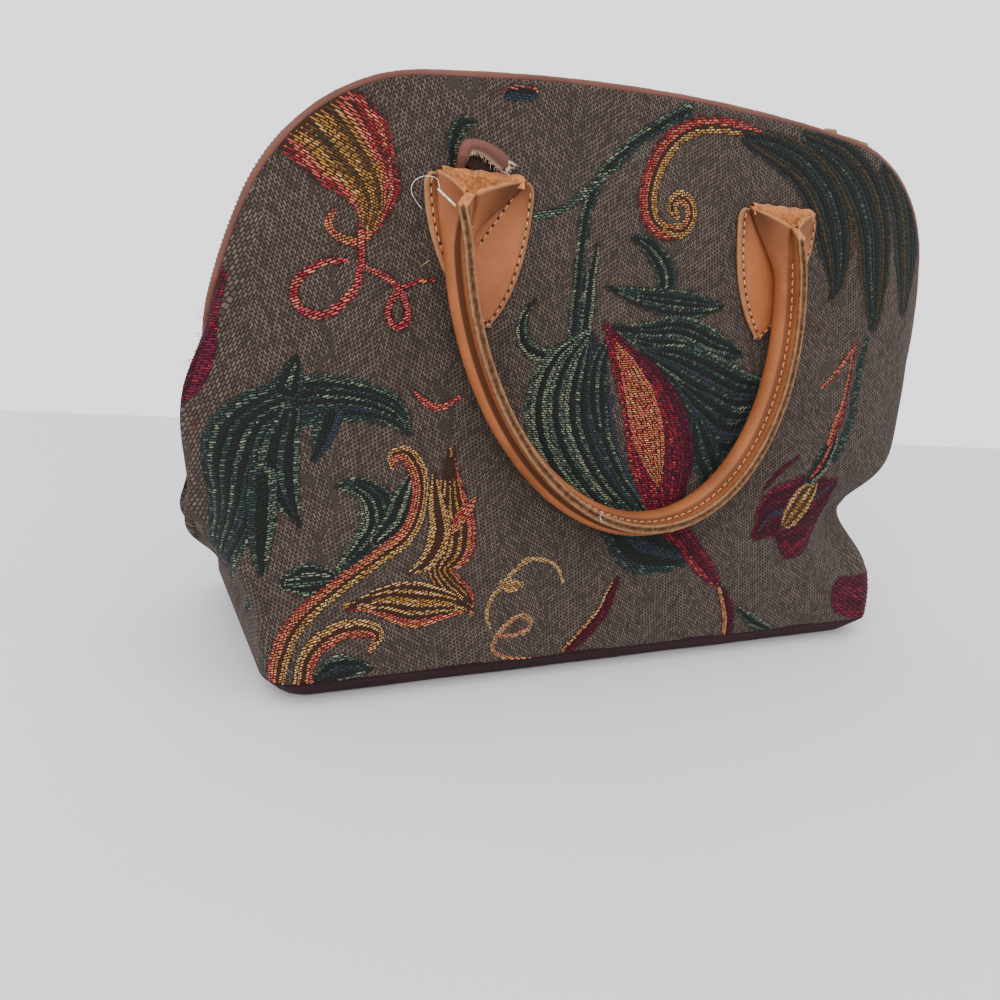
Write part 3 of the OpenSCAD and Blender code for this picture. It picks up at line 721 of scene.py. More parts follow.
def smooth_line(points, per=8):
    """A smooth curve through given points of any width, as many steps to each span."""
    p = np.asarray(points, float)
    ends = np.concatenate([[2 * p[0] - p[1]], p, [2 * p[-1] - p[-2]]])
    t = np.arange(per)[:, None] / per
    rows = []
    for a, b, c, d in zip(ends[:-3], ends[1:-2], ends[2:-1], ends[3:]):
        rows.append(0.5 * (2 * b + (c - a) * t + (2 * a - 5 * b + 4 * c - d) * t ** 2
                           + (3 * b - a - 3 * c + d) * t ** 3))
    return np.concatenate([*rows, p[-1:]])


def tube(path, radius, sides=6):
    """Points and faces of a closed tube along a path, its radius one number or one for each point."""
    path = np.asarray(path, float)
    radius = np.broadcast_to(np.asarray(radius, float), (len(path),))
    along = np.gradient(path, axis=0)
    along /= np.maximum(np.linalg.norm(along, axis=1, keepdims=True), 1e-9)
    side = np.cross(along[0], [0.31, 0.57, 0.76])
    rings = []
    for p, d, r in zip(path, along, radius):
        side = side - d * side.dot(d)
        side /= np.linalg.norm(side)
        up = np.cross(d, side)
        a = np.arange(sides) * 2 * np.pi / sides
        rings.append(p + r * (np.cos(a)[:, None] * side + np.sin(a)[:, None] * up))
    ends = [list(range(sides)), [len(path) * sides - 1 - k for k in range(sides)]]
    return np.concatenate(rings), quads(len(path), sides, True)[:, ::-1].tolist() + ends


YARNS = {"a": "amber", "g": "gold", "c": "cream", "s": "salmon", "p": "pink", "r": "red", "w": "wine",
         "m": "magenta", "t": "teal", "e": "sea", "f": "sage", "n": "navy", "o": "olive", "d": "dusk"}
# Float-stitched leaves and scrolls, as sewn on the unrolled front: the yarns across each from right to left,
# with a dot for a dark gap, the tilt of its floats, their length, what lies under, and points up its spine
# with the half width at each
MOTIFS = [
    # shoulder leaf with its curl and two loops of thread
    ("rpsaagoaagoaspr", -22, 4.4, "warm",
     [(-140, 201, 16), (-127, 188, 14), (-117, 177, 10), (-114, 167, 5.5), (-117, 158, 2)]),
    ("rpr", -30, 3.0, "warm", [(-123, 205, 2.5), (-113, 196, 3), (-109, 187, 2.4)]),
    ("pr", -10, 2.6, "warm", [(-108, 184, 1.6), (-106.5, 176, 2.2), (-108.5, 168, 1.4)]),
    ("ss", 20, 2.2, "warm",
     [(-115, 160, 1.4), (-120, 157, 1.5), (-125.5, 158, 1.4), (-128.5, 162, 1.3),
      (-126.5, 166.5, 0.8)]),
    ("p", 25, 3.0, "wine",
     [(-117.5, 160, 1.44), (-117.5, 150, 1.44), (-119, 142, 1.44), (-124, 135.5, 1.52),
      (-130.5, 131.5, 1.52), (-136.5, 133, 1.44), (-139, 138.5, 1.44), (-136, 144.5, 1.37),
      (-130, 148.8, 1.22), (-122.5, 150.5, 0.91)]),
    ("p", 25, 2.8, "wine",
     [(-115, 148.5, 0.91), (-109.5, 146.5, 1.14), (-104.5, 143, 1.29), (-101, 137.5, 1.29),
      (-100.3, 132.5, 1.29), (-103, 129.3, 1.29), (-106.5, 131, 1.29), (-107.5, 135.5, 1.22),
      (-104, 141.5, 1.14), (-98, 145, 1.06), (-91, 146.5, 0.76)]),
    # patch of wine yarn at the left seam
    ("mwwm", 8, 3.0, "wine",
     [(-159, 141, 2), (-162, 130, 5), (-163, 117, 6.5), (-164, 105, 5.5), (-165, 97, 2)]),
    # acanthus leaf that turns round the left corner
    ("te.t.e.tn.te", 20, 3.3, "cool",
     [(-98, 91, 1), (-104, 99, 5.5), (-117, 103, 7.5), (-134, 102, 9), (-147, 94, 9),
      (-152, 80, 10), (-156, 62, 9), (-161, 44, 7.5), (-169, 26, 6), (-177, 12, 2)]),
    ("t.e.t", 30, 2.8, "cool", [(-137.5, 117, 1), (-138.5, 112, 3), (-140, 106, 5)]),
    ("e.t.e", 12, 2.8, "cool", [(-139, 97, 3), (-142, 82, 6), (-141, 68, 5), (-136, 57, 1)]),
    ("t.n", 12, 2.6, "cool", [(-126, 98, 4), (-128.5, 90, 4), (-131.5, 81, 1)]),
    ("t.e", 12, 2.6, "cool", [(-147, 74, 4), (-147.5, 58, 4), (-147, 40, 1)]),
    ("p", 12, 2.4, "warm", [(-96, 106, 0.9), (-91.5, 102.5, 1.4), (-86, 101.3, 1.4), (-79, 105, 0.8)]),
    # sea green leaves behind the lower scroll
    ("ef.e.t.e", 12, 2.8, "cool",
     [(-123, 72, 1), (-115, 71.5, 4), (-109, 66, 6.5), (-108, 57, 7), (-113, 49, 6),
      (-121, 42, 2)]),
    ("e.f.e", 12, 2.8, "cool", [(-96, 76, 2), (-98, 68, 5), (-101, 59, 5.5), (-108, 52, 3)]),
    ("f.e.f.e", 8, 2.6, "cool", [(-140, 36, 3), (-133, 37.5, 6.5), (-126, 38.5, 3.5)]),
    ("e.n.e", 8, 2.8, "cool", [(-129, 1, 3), (-122, 4, 6), (-114, 4, 3.5), (-109, 3, 1)]),
    # lower scroll: stem, curled head, split leaf, lower leaf and side stem
    ("cc.ssp", 18, 2.8, "warm",
     [(-145, -1, 3.6), (-143.5, 8, 3.6), (-139.5, 18, 3.6), (-132, 27, 3.4), (-121, 36, 3.2),
      (-109, 44.5, 3.2), (-98.5, 52, 3.4), (-94, 60, 3.4), (-92.5, 70, 3.2), (-94, 78, 3.4),
      (-98.5, 84, 3.2), (-103, 83.5, 2.6), (-103.5, 79.5, 1.2)]),
    ("s.c.c.a.sp", 24, 2.8, "warm",
     [(-81, 86, 1.2), (-81, 77, 3.4), (-80, 66, 6.5), (-78.5, 56, 9), (-79, 47, 8.5), (-83, 40, 5),
      (-79, 34, 5), (-72.5, 28, 4), (-69, 21, 1)]),
    ("ps", 34, 2.4, "warm", [(-70.5, 67, 0.8), (-74, 62, 2.6), (-80, 55, 2)]),
    ("c.c", 34, 2.6, "warm",
     [(-95, 39, 1), (-88, 44, 3.4), (-84, 54, 4.5), (-86, 66, 3.2), (-87.5, 76, 1)]),
    ("sp.c.ca.c.c", 16, 3.0, "warm",
     [(-119, 27, 1.2), (-112, 28, 3.2), (-103, 28.5, 7), (-92, 26.5, 9.2), (-80, 25.5, 6),
      (-70, 23.5, 1.6)]),
    ("ps.cc", 18, 2.6, "warm",
     [(-135, -1, 3.6), (-133.5, 8, 3.6), (-128.5, 14.5, 3.6), (-120.5, 18.5, 3.6),
      (-112.5, 19, 3.4), (-107, 16, 2.8), (-110, 10, 0.8)]),
    # thin curls at the foot
    ("c", 25, 2.0, "ground",
     [(-30, 32, 0.7), (-33.5, 38.5, 0.9), (-40, 41.5, 1), (-46.5, 41.5, 1), (-52, 37, 1.1),
      (-57, 31.5, 1.1), (-61.5, 26, 1), (-62.5, 19, 1), (-60.5, 14.5, 0.7)]),
    ("cac", 10, 1.8, "ground", [(-57, 33, 1.2), (-53, 31.5, 2.9), (-48.5, 31.5, 1.4)]),
    ("cs", 15, 1.9, "ground",
     [(-56, 10.8, 0.7), (-50, 10.8, 0.8), (-44.5, 12, 1), (-42.8, 16, 1.1), (-47, 18.5, 1.1),
      (-53, 16, 1.1), (-58, 10, 1), (-58.5, 5, 0.9), (-53, 1.5, 0.8), (-40, -1, 0.7)]),
    # stem that climbs to the crown, with its side shoot and sepal
    ("t.e", 35, 2.6, "cool",
     [(-33.5, 130, 2.6), (-33, 148, 2.2), (-32.5, 163, 2.3), (-31, 176, 2.3), (-26, 188, 2.3),
      (-15, 199, 2.4), (-4, 207.5, 2.6), (10, 216, 2.6)]),
    ("e.f", 5, 2.2, "cool", [(-26, 163, 1), (-27.5, 150, 2.4), (-28, 138, 2.8), (-29, 128, 2.4)]),
    ("e", 12, 2.4, "cool",
     [(-56, 171, 1), (-46, 173, 1.3), (-37, 178, 1.4), (-28, 185.5, 1.4), (-19, 192, 0.8)]),
    ("f.e", 5, 2.0, "cool",
     [(-51.5, 141, 0.8), (-55.5, 134, 2), (-54, 126, 2.8), (-47, 121.5, 2.8), (-38, 122.5, 2.4),
      (-29, 128.5, 1.2)]),
    # broad leaf beside the bud
    ("ef.fe.ef.e.nt.en", 0, 2.3, "cool",
     [(-27, 128, 4), (-31, 118, 14), (-33, 105, 19), (-31, 93, 19), (-24, 80, 17), (-14, 68, 14),
      (-2, 58, 10), (8, 48, 6)]),
    ("t.e.t", 0, 2.4, "cool", [(-18, 128, 2), (-21, 118, 4.5), (-21, 106, 5), (-18, 94, 4)]),
    ("t.n.t", 0, 2.4, "cool", [(-8, 56, 8), (4, 46, 12), (18, 41, 9), (34, 38, 2)]),
    # leaves on the far side of the bud
    ("t.e.t", 35, 3.6, "cool",
     [(-10, 167, 1), (-2, 164, 3.6), (5, 157, 4.6), (6.5, 149, 4.6), (1, 144, 3)]),
    ("t.te.t.te", 38, 4.6, "cool",
     [(-20, 148, 0.8), (-6, 145, 3.4), (10, 143.5, 5.5), (24, 143, 4.5), (37, 143, 0.8)]),
    ("te.t.te.t.te", 36, 4.8, "cool",
     [(-16, 133, 1), (0, 130, 6), (16, 130, 9), (32, 125, 9), (46, 124, 3)]),
    ("t.e.tn.t.te", 30, 4.2, "cool",
     [(0, 124, 2), (14, 120, 8), (30, 114, 11), (46, 108, 11), (62, 107, 7)]),
    ("t.tn.t.t", 24, 4.2, "cool", [(18, 110, 3), (30, 100, 9), (44, 92, 11), (58, 96, 5)]),
    ("t.t.t", 10, 4.0, "cool", [(28, 96, 3), (33, 84, 8), (38, 74, 6), (36, 62, 2)]),
    # bud
    ("rrmrrmrmmrmmww", 0, 2.6, "wine",
     [(-20, 134.5, 0.8), (-11, 122, 6), (0, 109, 11.5), (8, 95, 15), (13, 80, 15.5), (15, 66, 11),
      (18, 54, 6), (26, 46, 3)]),
    ("sxxxxs", 4, 1.9, "wine",
     [(-14, 126, 1.2), (-7, 117, 4.5), (-1, 106, 7), (3.5, 95, 7.8), (7, 85, 6.6), (10, 76, 3.8),
      (11.5, 70, 1)]),
    ("rwm", 0, 2.3, "wine", [(18, 56, 5), (26, 48, 5), (34, 39, 5), (42, 31, 4), (48, 25, 2)]),
    # hook scroll under the crown
    ("rpp.ca", 8, 2.6, "warm",
     [(46, 211, 2), (34, 212.5, 3), (21, 212, 3.2), (11, 209, 3.6), (4, 203.5, 4), (-1.5, 196, 4.2),
      (-4.5, 188, 4.2), (-5, 180, 4.2), (-2, 173.5, 3.8), (4, 170.5, 3.2), (10, 170, 2.4)]),
    ("ac.sc", 8, 2.2, "warm",
     [(5, 171.5, 2.2), (12, 171.5, 2.8), (16, 176, 2.8), (14.5, 182, 2.8), (9, 184, 2.6),
      (6, 180, 2.4), (9, 177, 1.6)]),
    # dusky leaves of the right shoulder, in dark yarns for their own dull colour and for painted shade on
    # that side
    ("d.od.dt.do", 24, 3.8, "cool",
     [(40, 209, 3), (56, 206, 7), (72, 200, 9), (86, 188, 11), (94, 172, 10), (98, 156, 5),
      (96, 148, 1)]),
    ("od.td.do.d", 24, 3.8, "cool",
     [(70, 213, 3), (90, 207, 8), (106, 195, 11), (116, 178, 11), (121, 158, 9), (124, 138, 3)]),
    ("d.od.d", 18, 3.6, "cool", [(120, 206, 6), (134, 190, 9), (142, 168, 9), (146, 146, 4)]),
    ("oo", 10, 2.4, "ground", [(83, 134, 1.5), (88, 138, 2.5), (92, 134, 1)]),
    # flower of the right side and its stem
    ("m.w.wn.w.m", 10, 3.0, "wine", [(68, 47, 4), (76, 53, 13), (90, 54, 17), (104, 60, 13), (113, 66, 3)]),
    ("w", 20, 2.6, "wine", [(69, 66, 1), (77, 74, 1.3), (88, 80, 0.8)]),
    ("wm", 0, 2.6, "wine", [(84, 40, 3), (88, 36, 3), (97, 38, 3), (104, 46, 2)]),
    ("coaoc", 28, 2.2, "warm",
     [(82, 47.5, 1), (86, 52, 5), (92, 58.5, 6.5), (97.5, 64.5, 5), (101, 69, 1)]),
    ("f.p.t", 28, 2.2, "cool", [(96, 69, 3), (102, 75, 5), (107, 83, 4), (109, 89, 2)]),
    ("rs", 30, 2.4, "warm",
     [(106, 85, 1.5), (109, 93, 2.4), (112, 104, 1.4), (113.5, 116, 1.1), (114, 130, 0.8)]),
    ("sp", 30, 2.2, "warm", [(114, 128, 0.8), (107, 119, 1), (97, 110, 0.7)]),
    ("t", 30, 2.8, "cool", [(111, 78, 2), (117, 92, 2.4), (119, 112, 2), (121, 132, 1.5)]),
    # stalks and patches at the foot
    ("c.ww", 30, 2.3, "wine", [(-4, 32, 1), (-7, 25, 2.6), (-9.5, 17, 3), (-16, 9, 3), (-25, 0, 2.6)]),
    ("ww.cs", 20, 2.3, "wine", [(58, -1, 2.6), (57, 8, 3), (54, 16.5, 2.8), (48.5, 25, 0.8)]),
    ("t.e", 20, 3.0, "cool", [(62, 12, 1), (70, 6, 3), (82, 0, 2)]),
    ("mwmw", 6, 3.0, "wine", [(127, 12, 9), (138, 10, 10), (150, 12, 9), (160, 14, 4)]),
    # small spots beside the crown and above the left patch
    ("nn.p", 0, 2.4, "cool", [(-66, 212, 2), (-61, 212.5, 3), (-56, 213, 2)]),
    ("t.e", 10, 2.2, "cool", [(-78, 200.5, 1.2), (-83, 199.5, 2.6), (-86, 193, 2.4), (-86, 185, 1.6)]),
]
FLOAT_PITCH = 0.88
FLOAT_W = 0.8
FLOAT_H = 0.34
# Narrowest band that is still sewn, steps along a row of floats, and how far each row's stitches are set on
BAND_LEAST = 0.8
FLOAT_STEP = 0.35
ROW_OFFSET = 0.38
# Yarns that are twisted together in one float stitch row, so that a band is never of one flat colour
BLENDS = {"a": "aaagc", "g": "ggao", "c": "ccca", "s": "ssspa", "p": "ppprs", "r": "rrrpw", "w": "wwwm",
          "m": "mmmrw", "t": "ttte", "e": "eeetf", "f": "fffe", "n": "nnnt", "o": "oood", "d": "dddt",
          "x": "aascpsr"}


class Motif:
    """One leaf or scroll: where it lies, and which yarn runs at each place across it."""

    def __init__(self, bands, tilt, run, under, spine):
        line = smooth_line(spine)
        self.line, self.half = line[:, :2], np.maximum(line[:, 2], 0.3)
        self.bands, self.tilt, self.run, self.under = bands, math.radians(tilt), run, under
        reach = self.half.max()
        self.low, self.high = self.line.min(0) - reach, self.line.max(0) + reach

    def meets(self, other):
        """Whether the boxes of two motifs overlap."""
        return bool((self.low < other.high).all() and (other.low < self.high).all())

    def cover(self, q):
        """Index of the band at each place, or -1 off the motif."""
        found = np.full(len(q), -1)
        near = np.flatnonzero(((q > self.low) & (q < self.high)).all(1))
        a, d = self.line[:-1], np.diff(self.line, axis=0)
        for part in np.array_split(near, max(1, len(near) // 6000)):
            gap = q[part, None] - a[None]
            t = np.clip((gap * d).sum(-1) / (d * d).sum(-1), 0, 1)
            gap = gap - t[..., None] * d
            far = np.hypot(gap[..., 0], gap[..., 1])
            k = far.argmin(1)
            row = np.arange(len(part))
            half = self.half[k] + t[row, k] * (self.half[k + 1] - self.half[k])
            gap = gap[row, k]
            side = np.sign(d[k, 0] * gap[:, 1] - d[k, 1] * gap[:, 0])
            share = side * far[row, k] / half
            count = len(self.bands)
            band = np.clip(((share + 1) / 2 * count).astype(int), 0, count - 1)
            group = np.clip(np.ceil(BAND_LEAST * count / (2 * half)), 1, count).astype(int)
            band = np.minimum(band // group * group + group // 2, count - 1)
            found[part] = np.where(np.abs(share) <= 1, band, -1)
        return found


def sewn_motifs():
    """Every motif, in the order in which they overlap."""
    return [Motif(*row) for row in MOTIFS]


def underlays(c):
    """Dye of the weft that shows between the floats, for each kind of motif."""
    return {"warm": c.warm_gap, "cool": c.cool_gap, "wine": c.wine_gap}


def float_runs(motif, later):
    """The floats of one motif: start and end of each on the unrolled cloth, and its band."""
    cos, sin = math.cos(motif.tilt), math.sin(motif.tilt)
    along, up = np.array([cos, sin]), np.array([-sin, cos])
    box = np.array([[x, y] for x in (motif.low[0], motif.high[0]) for y in (motif.low[1], motif.high[1])])
    a0, a1 = (box @ along).min(), (box @ along).max()
    spread = box @ up / FLOAT_PITCH
    rows = np.arange(math.floor(spread.min()), math.ceil(spread.max()) + 1)
    s = np.arange(a0, a1 + FLOAT_STEP, FLOAT_STEP)
    places = (rows[:, None, None] * FLOAT_PITCH * up + s[None, :, None] * along).reshape(-1, 2)
    band = motif.cover(places)
    for other in later:
        if motif.meets(other):
            band[other.cover(places) >= 0] = -1
    band = band.reshape(len(rows), len(s))
    lattice = np.floor((s[None] + rows[:, None] * motif.run * ROW_OFFSET) / motif.run).astype(int)
    key = np.where(band < 0, -1, band + len(motif.bands) * (lattice + 4000))
    found = []
    for j in range(len(rows)):
        cuts = np.flatnonzero(np.diff(key[j])) + 1
        for lo, hi in zip(np.concatenate([[0], cuts]), np.concatenate([cuts, [len(s)]])):
            if key[j, lo] >= 0 and hi - lo > (2 if motif.bands[band[j, lo]] == "." else 1):
                base = rows[j] * FLOAT_PITCH * up
                first, last = s[lo] - FLOAT_STEP / 3, s[hi - 1] + FLOAT_STEP / 3
                found.append((*(base + first * along), *(base + last * along), band[j, lo]))
    return found


def make_floats(context, word, name, unders):
    """Raised float stitches of one panel's motifs, of those that lie on the named grounds."""
    _, panel = half_of(context, word)
    c = dyes(context)
    rng = np.random.default_rng(SEED)
    motifs = sewn_motifs()
    ends, tints = [], []
    gaps = {**underlays(c), "ground": c.ground}
    for k, motif in enumerate(motifs):
        if motif.under not in unders:
            continue
        for u0, w0, u1, w1, band in float_runs(motif, motifs[k + 1:]):
            letter = motif.bands[band]
            if letter == ".":
                dye = np.array(gaps[motif.under])
            else:
                twist = BLENDS[letter]
                dye = np.array(getattr(c, YARNS[twist[rng.integers(len(twist))]]))
            ends.append((u0, w0, u1, w1))
            tints.append(dye * rng.uniform(0.7, 1.2))
    ends, tints = np.array(ends), np.array(tints)
    ends = ends + rng.normal(0, 0.08, ends.shape)
    stations = np.array([0.0, 0.2, 0.8, 1.0])
    q = ends[:, None, :2] + (ends[:, None, 2:] - ends[:, None, :2]) * stations[None, :, None]
    a, b, on = panel.locate(q.reshape(-1, 2))
    keep = on.reshape(-1, 4).all(1)
    p = panel.sample(panel.points, a, b).reshape(-1, 4, 3)[keep]
    out = panel.sample(panel.out, a, b).reshape(-1, 4, 3)[keep]
    along = unit(p[:, 3] - p[:, 0])
    side = np.cross(out, along[:, None])[:, 1:3] * FLOAT_W / 2
    rise = out[:, 1:3] * (FLOAT_H * rng.uniform(0.8, 1.25, len(p)))[:, None, None]
    low = p[:, 1:3] - out[:, 1:3] * 0.12
    tips = p[:, ::3] - out[:, ::3] * 0.06
    ring = np.stack([low - side, p[:, 1:3] + rise, low + side], 2).reshape(-1, 6, 3)
    points = np.concatenate([tips[:, :1], ring, tips[:, 1:]], 1).reshape(-1, 3)
    spindle = [[0, 1, 2], [0, 2, 3], [0, 3, 1], [7, 5, 4], [7, 6, 5], [7, 4, 6]]
    barrel = [[2, 1, 4, 5], [3, 2, 5, 6], [1, 3, 6, 4]]
    start = np.arange(len(p))[:, None, None] * 8
    faces = [face for part in (spindle, barrel)
             for face in (start + np.array(part)).reshape(-1, len(part[0])).tolist()]
    points, faces = set_side(word, points, faces)
    dye = np.column_stack([np.repeat(tints[keep], 8, axis=0), np.ones(len(points))])
    made = Build()
    made.add(points, faces, dye=dye)
    return made.piece(context, f"{word}_{name}_floats", ["yarn"], "bag", "tapestry")


def make_cloth(context, word):
    """One cloth panel, its edges turned in to the seams, with the motifs' dark underlay."""
    g, panel = half_of(context, word)
    c = dyes(context)
    rows, cols = panel.u.shape
    q = np.stack([panel.u.ravel(), panel.w.ravel()], -1)
    under, motif = np.zeros((len(q), 4)), np.zeros(len(q))
    tones = underlays(c)
    for m in sewn_motifs():
        hit = m.cover(q) >= 0
        if m.under in tones:
            under[hit], motif[hit] = rgba(tones[m.under]), 1
    weave = panel.weave.reshape(-1, 3)
    loop = rim_of(rows, cols)
    turned = panel.points.reshape(-1, 3)[loop] - panel.out.reshape(-1, 3)[loop] * g.cloth_t
    hem = rows * cols + np.arange(len(loop))
    faces = quads(rows, cols).tolist()
    faces += np.stack([np.roll(loop, -1), loop, hem, np.roll(hem, -1)], -1).tolist()
    points = np.concatenate([panel.points.reshape(-1, 3), turned])
    points, faces = set_side(word, points, faces)
    made = Build()
    made.add(points, faces, weave=np.concatenate([weave, weave[loop]]),
             under=np.concatenate([under, under[loop]]), motif=np.concatenate([motif, motif[loop]]))
    cloth = made.piece(context, f"{word}_cloth", ["tapestry"], "bag", "tapestry", f"{word}_panel")
    return cloth


BASE_STEPS = 320
# The bottom's rings beyond this draw close on the middle line
BOTTOM_FROM = 40


def base_outline(g, draw, per=10):
    """The base's rounded rectangle, drawn in from its seam."""
    half = np.array([g.base_w / 2 - draw, g.base_d / 2 - draw])
    r = g.base_corner
    points = []
    for k, (sx, sy) in enumerate(((1, 1), (-1, 1), (-1, -1), (1, -1))):
        a = np.pi / 2 * (k + np.arange(per + 1) / per)
        corner = (half - r) * [sx, sy]
        points += [corner + r * np.array([math.cos(t), math.sin(t)]) for t in a]
    line = np.array(points + points[:1])
    run = lengths(line)
    s = np.linspace(0, run[-1], BASE_STEPS + 1)[:-1]
    return at_lengths(s, run, line), s


def make_base(context):
    """Boxed base of plum cloth: rolled seam, soft wall, turned foot and flat bottom."""
    g, _ = half_of(context, "front")
    seam, deepest = g.base_seam_z, g.base_d / 2 - 0.5
    profile = [(1.6, seam + 1.2), (0.2, seam + 0.5), (0.0, seam - 0.6), (0.9, seam - 1.6), (2.2, 6.4),
               (3.9, 4.0), (5.4, 2.0), (6.4, 0.8), (7.6, 0.2), (9.5, 0.0), (16, 0.0), (30, 0.0), (44, 0.0),
               (deepest, 0.0)]
    rings = []
    for draw, z in profile:
        line, s = base_outline(g, min(draw, deepest - g.base_corner))
        if draw > BOTTOM_FROM:
            line = line * [1, 0.02]
        sway = 0.35 * np.sin(s * 0.09) * np.sin(s * 0.023 + 1) * (0.4 < z < 9)
        rings.append(np.column_stack([line + unit(line) * sway[:, None], np.full(len(line), z)]))
    made = Build()
    made.add(np.concatenate(rings), quads(len(rings), len(rings[0]), True)[:, ::-1])
    base = made.piece(context, "base_cloth", ["plum"], "bag", "base_cloth", "base_panel")
    return base


# Rings along a piping and points round it, rings along a tape and points across it
PIPING_RINGS, PIPING_SIDES = 360, 14
TAPE_RINGS, TAPE_POINTS = 240, 7


def end_tuck(t):
    """How far the piping and zip tuck in at their ends, more behind the puffed cloth on the left."""
    return 6 * (1 - ease((t - 0.03) / 0.1)) + 1.2 * (1 - ease((0.98 - t) / 0.06))


def make_piping(context, word):
    """Leather piping over the dome: a slightly uneven roll with its sewn flange turned down behind it."""
    g, _ = half_of(context, word)
    n, sides = PIPING_RINGS, PIPING_SIDES
    t = np.linspace(0, 1, n)
    p = dome_run(g, t, g.piping_r + end_tuck(t), g.sink)
    out = square_to(p)
    run = t * 2 * dome_length(g, g.piping_r)
    lump = 1 + 0.025 * np.sin(run * 0.31) + 0.02 * np.sin(run * 0.83 + 1) + 0.02 * np.sin(run * 1.7 + 2)
    a = np.arange(sides) * 2 * np.pi / sides
    r = (g.piping_r - 0.05) * lump[:, None] * np.ones(sides)
    flange = np.clip(-np.cos(a), 0, 1) ** 6 * 1.6
    radial = r * np.cos(a) - flange
    points = np.stack([p[:, :1] + out[:, :1] * radial, r * np.sin(a) - g.piping_y,
                       p[:, 1:] + out[:, 1:] * radial], -1)
    raw = 0.175 * np.clip(np.cos(a), 0, 1) ** 3 * (0.5 + 0.5 * np.sin(run * 0.05 + 1))[:, None]
    # Painted shade: the side of the roll that faces the cloth, over its flange, is darkened.
    tone = np.clip(-np.cos(a), 0, 1) * np.ones((n, 1)) * 0.8
    points, faces = set_side(word, points, shut_ends(n, sides))
    made = Build()
    made.add(points, faces, raw=raw.ravel(), tone=tone.ravel())
    return made.piece(context, f"{word}_roll", ["mauve"], "bag", "piping_leather", f"{word}_piping")


def zip_rise(t):
    """How far the zip stands up beside the left piping, where the slider doesn't run."""
    return 2.1 * ease((t - 0.01) / 0.05) * ease((0.29 - t) / 0.06)


TAPE_T = 0.8
TAPE_DIP = 0.2
# Bare tape beyond the first and the last coil, the points in one coil, and the size of its wire
COIL_END = 4
COIL_POINTS = 8
COIL_R = 0.36


def dome_band(g, t, low, high, inset):
    """Points of a band of tape that follows the dome, between two depths y."""
    p = dome_run(g, t, inset + end_tuck(t))
    out = square_to(p)
    s = np.linspace(0, 1, TAPE_POINTS)
    rise = zip_rise(t)[:, None] * ease(s) - TAPE_DIP * np.sin(np.pi * s)
    x = p[:, :1] + out[:, :1] * rise
    z = p[:, 1:] + out[:, 1:] * rise
    y = np.broadcast_to(low + (high - low) * s, x.shape)
    return np.stack([x, y, z], -1)


def make_zip(context):
    """Zip tapes, two rows of meshed coils and old brass for the slider, pull and stops."""
    g, _ = half_of(context, "front")
    for side, word in ((-1, "front"), (1, "back")):
        n, cols = TAPE_RINGS, TAPE_POINTS
        t = np.linspace(0, 1, n)
        top, low = (dome_band(g, t, side * (g.piping_y - 0.9), side * 1.2, g.zip_inset + k * TAPE_T / 2)
                    for k in (-1, 1))
        start = np.arange(n) * cols
        rim = np.concatenate([start, start[::-1] + cols - 1])
        flat = quads(n, cols)
        faces = np.concatenate([flat, flat[:, ::-1] + n * cols, edge_faces(rim, n * cols)])
        made = Build()
        made.add(np.concatenate([top.reshape(-1, 3), low.reshape(-1, 3)]), faces[:, ::side])
        made.piece(context, f"{word}_tape", ["tape"], "bag", "zip_tape", f"{word}_zip_tape")
        whole = 2 * dome_length(g, g.zip_inset)
        coils = int((whole - 2 * COIL_END) / g.coil_pitch)
        turn = np.arange(coils * COIL_POINTS + 1) / COIL_POINTS + (0.5 if side > 0 else 0)
        share = (COIL_END + turn * g.coil_pitch) / (whole + g.coil_pitch)
        p = dome_run(g, share, g.zip_inset + end_tuck(share))
        out = square_to(p)
        a = turn * 2 * np.pi
        y = side * (1.25 - 1.5 * np.cos(a))
        lift = 0.62 * np.sin(a) + zip_rise(share)
        path = np.column_stack([p[:, 0] + out[:, 0] * lift, y, p[:, 1] + out[:, 1] * lift])
        points, faces = tube(path, COIL_R, 5)
        made = Build()
        made.add(points, faces)
        made.piece(context, f"{word}_coil", ["coil"], "bag", "zip_coil", f"{word}_zip_coil")
    for node in ("zip_slider", "zip_pull", "zip_stops"):
        wear(context, node, "brass", 0.18)


def wear(context, node, finish, bevel):
    """Gives a CAD node that stays its finish, and eases its edges."""
    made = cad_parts[node]
    made.data.materials.clear()
    made.data.materials.append(finish_of(context, finish))
    edge = made.modifiers.new("edge", "BEVEL")
    edge.width, edge.segments, edge.limit_method = bevel * MM, 2, "ANGLE"


def on_plane(g, points):
    """From a handle's own plane (x across, y towards the bag, z up) to the bag's frame."""
    p = np.asarray(points, float)
    cos, sin = math.cos(g.lean), math.sin(g.lean)
    return np.stack([p[..., 0] + g.handle_shift, p[..., 1] * cos + p[..., 2] * sin - g.fold_y,
                     p[..., 2] * cos - p[..., 1] * sin + g.fold_z], -1)


def patch_half(g, q):
    """Half width of the leaf-shaped patch at a share of its length, with rounded shoulders."""
    shoulders = 1 - 0.1 * np.clip(1 - q / 0.08, 0, 1) ** 2
    return g.patch_w / 2 * np.maximum((1 - q ** 2.2) ** 0.8, 0.09) * shoulders


def front_place(g, panel, x, z, lift):
    """Points on the front cloth at x and z, lifted off it along the handles' plane."""
    cos, sin = math.cos(g.lean), math.sin(g.lean)
    w = (np.asarray(z, float) - g.foot_z) / cos
    a, b, _ = panel.locate(np.stack([np.ravel(x), np.ravel(w)], -1))
    p = panel.sample(panel.points, a, b)
    p = p + np.ravel(lift)[:, None] * np.array([0, -cos, sin])
    return p.reshape(*np.shape(x), 3)


SIDES = {"left": -1, "right": 1}
PATCH_ROWS, PATCH_COLS = 44, 27
HOLE_R = 0.58


def patch_middle(g, side, q):
    """Middle line of a patch, whose tip leans towards the middle of the bag."""
    return g.patch_shift + SIDES[side] * (g.patch_gap / 2 - g.tip_in * q * q)


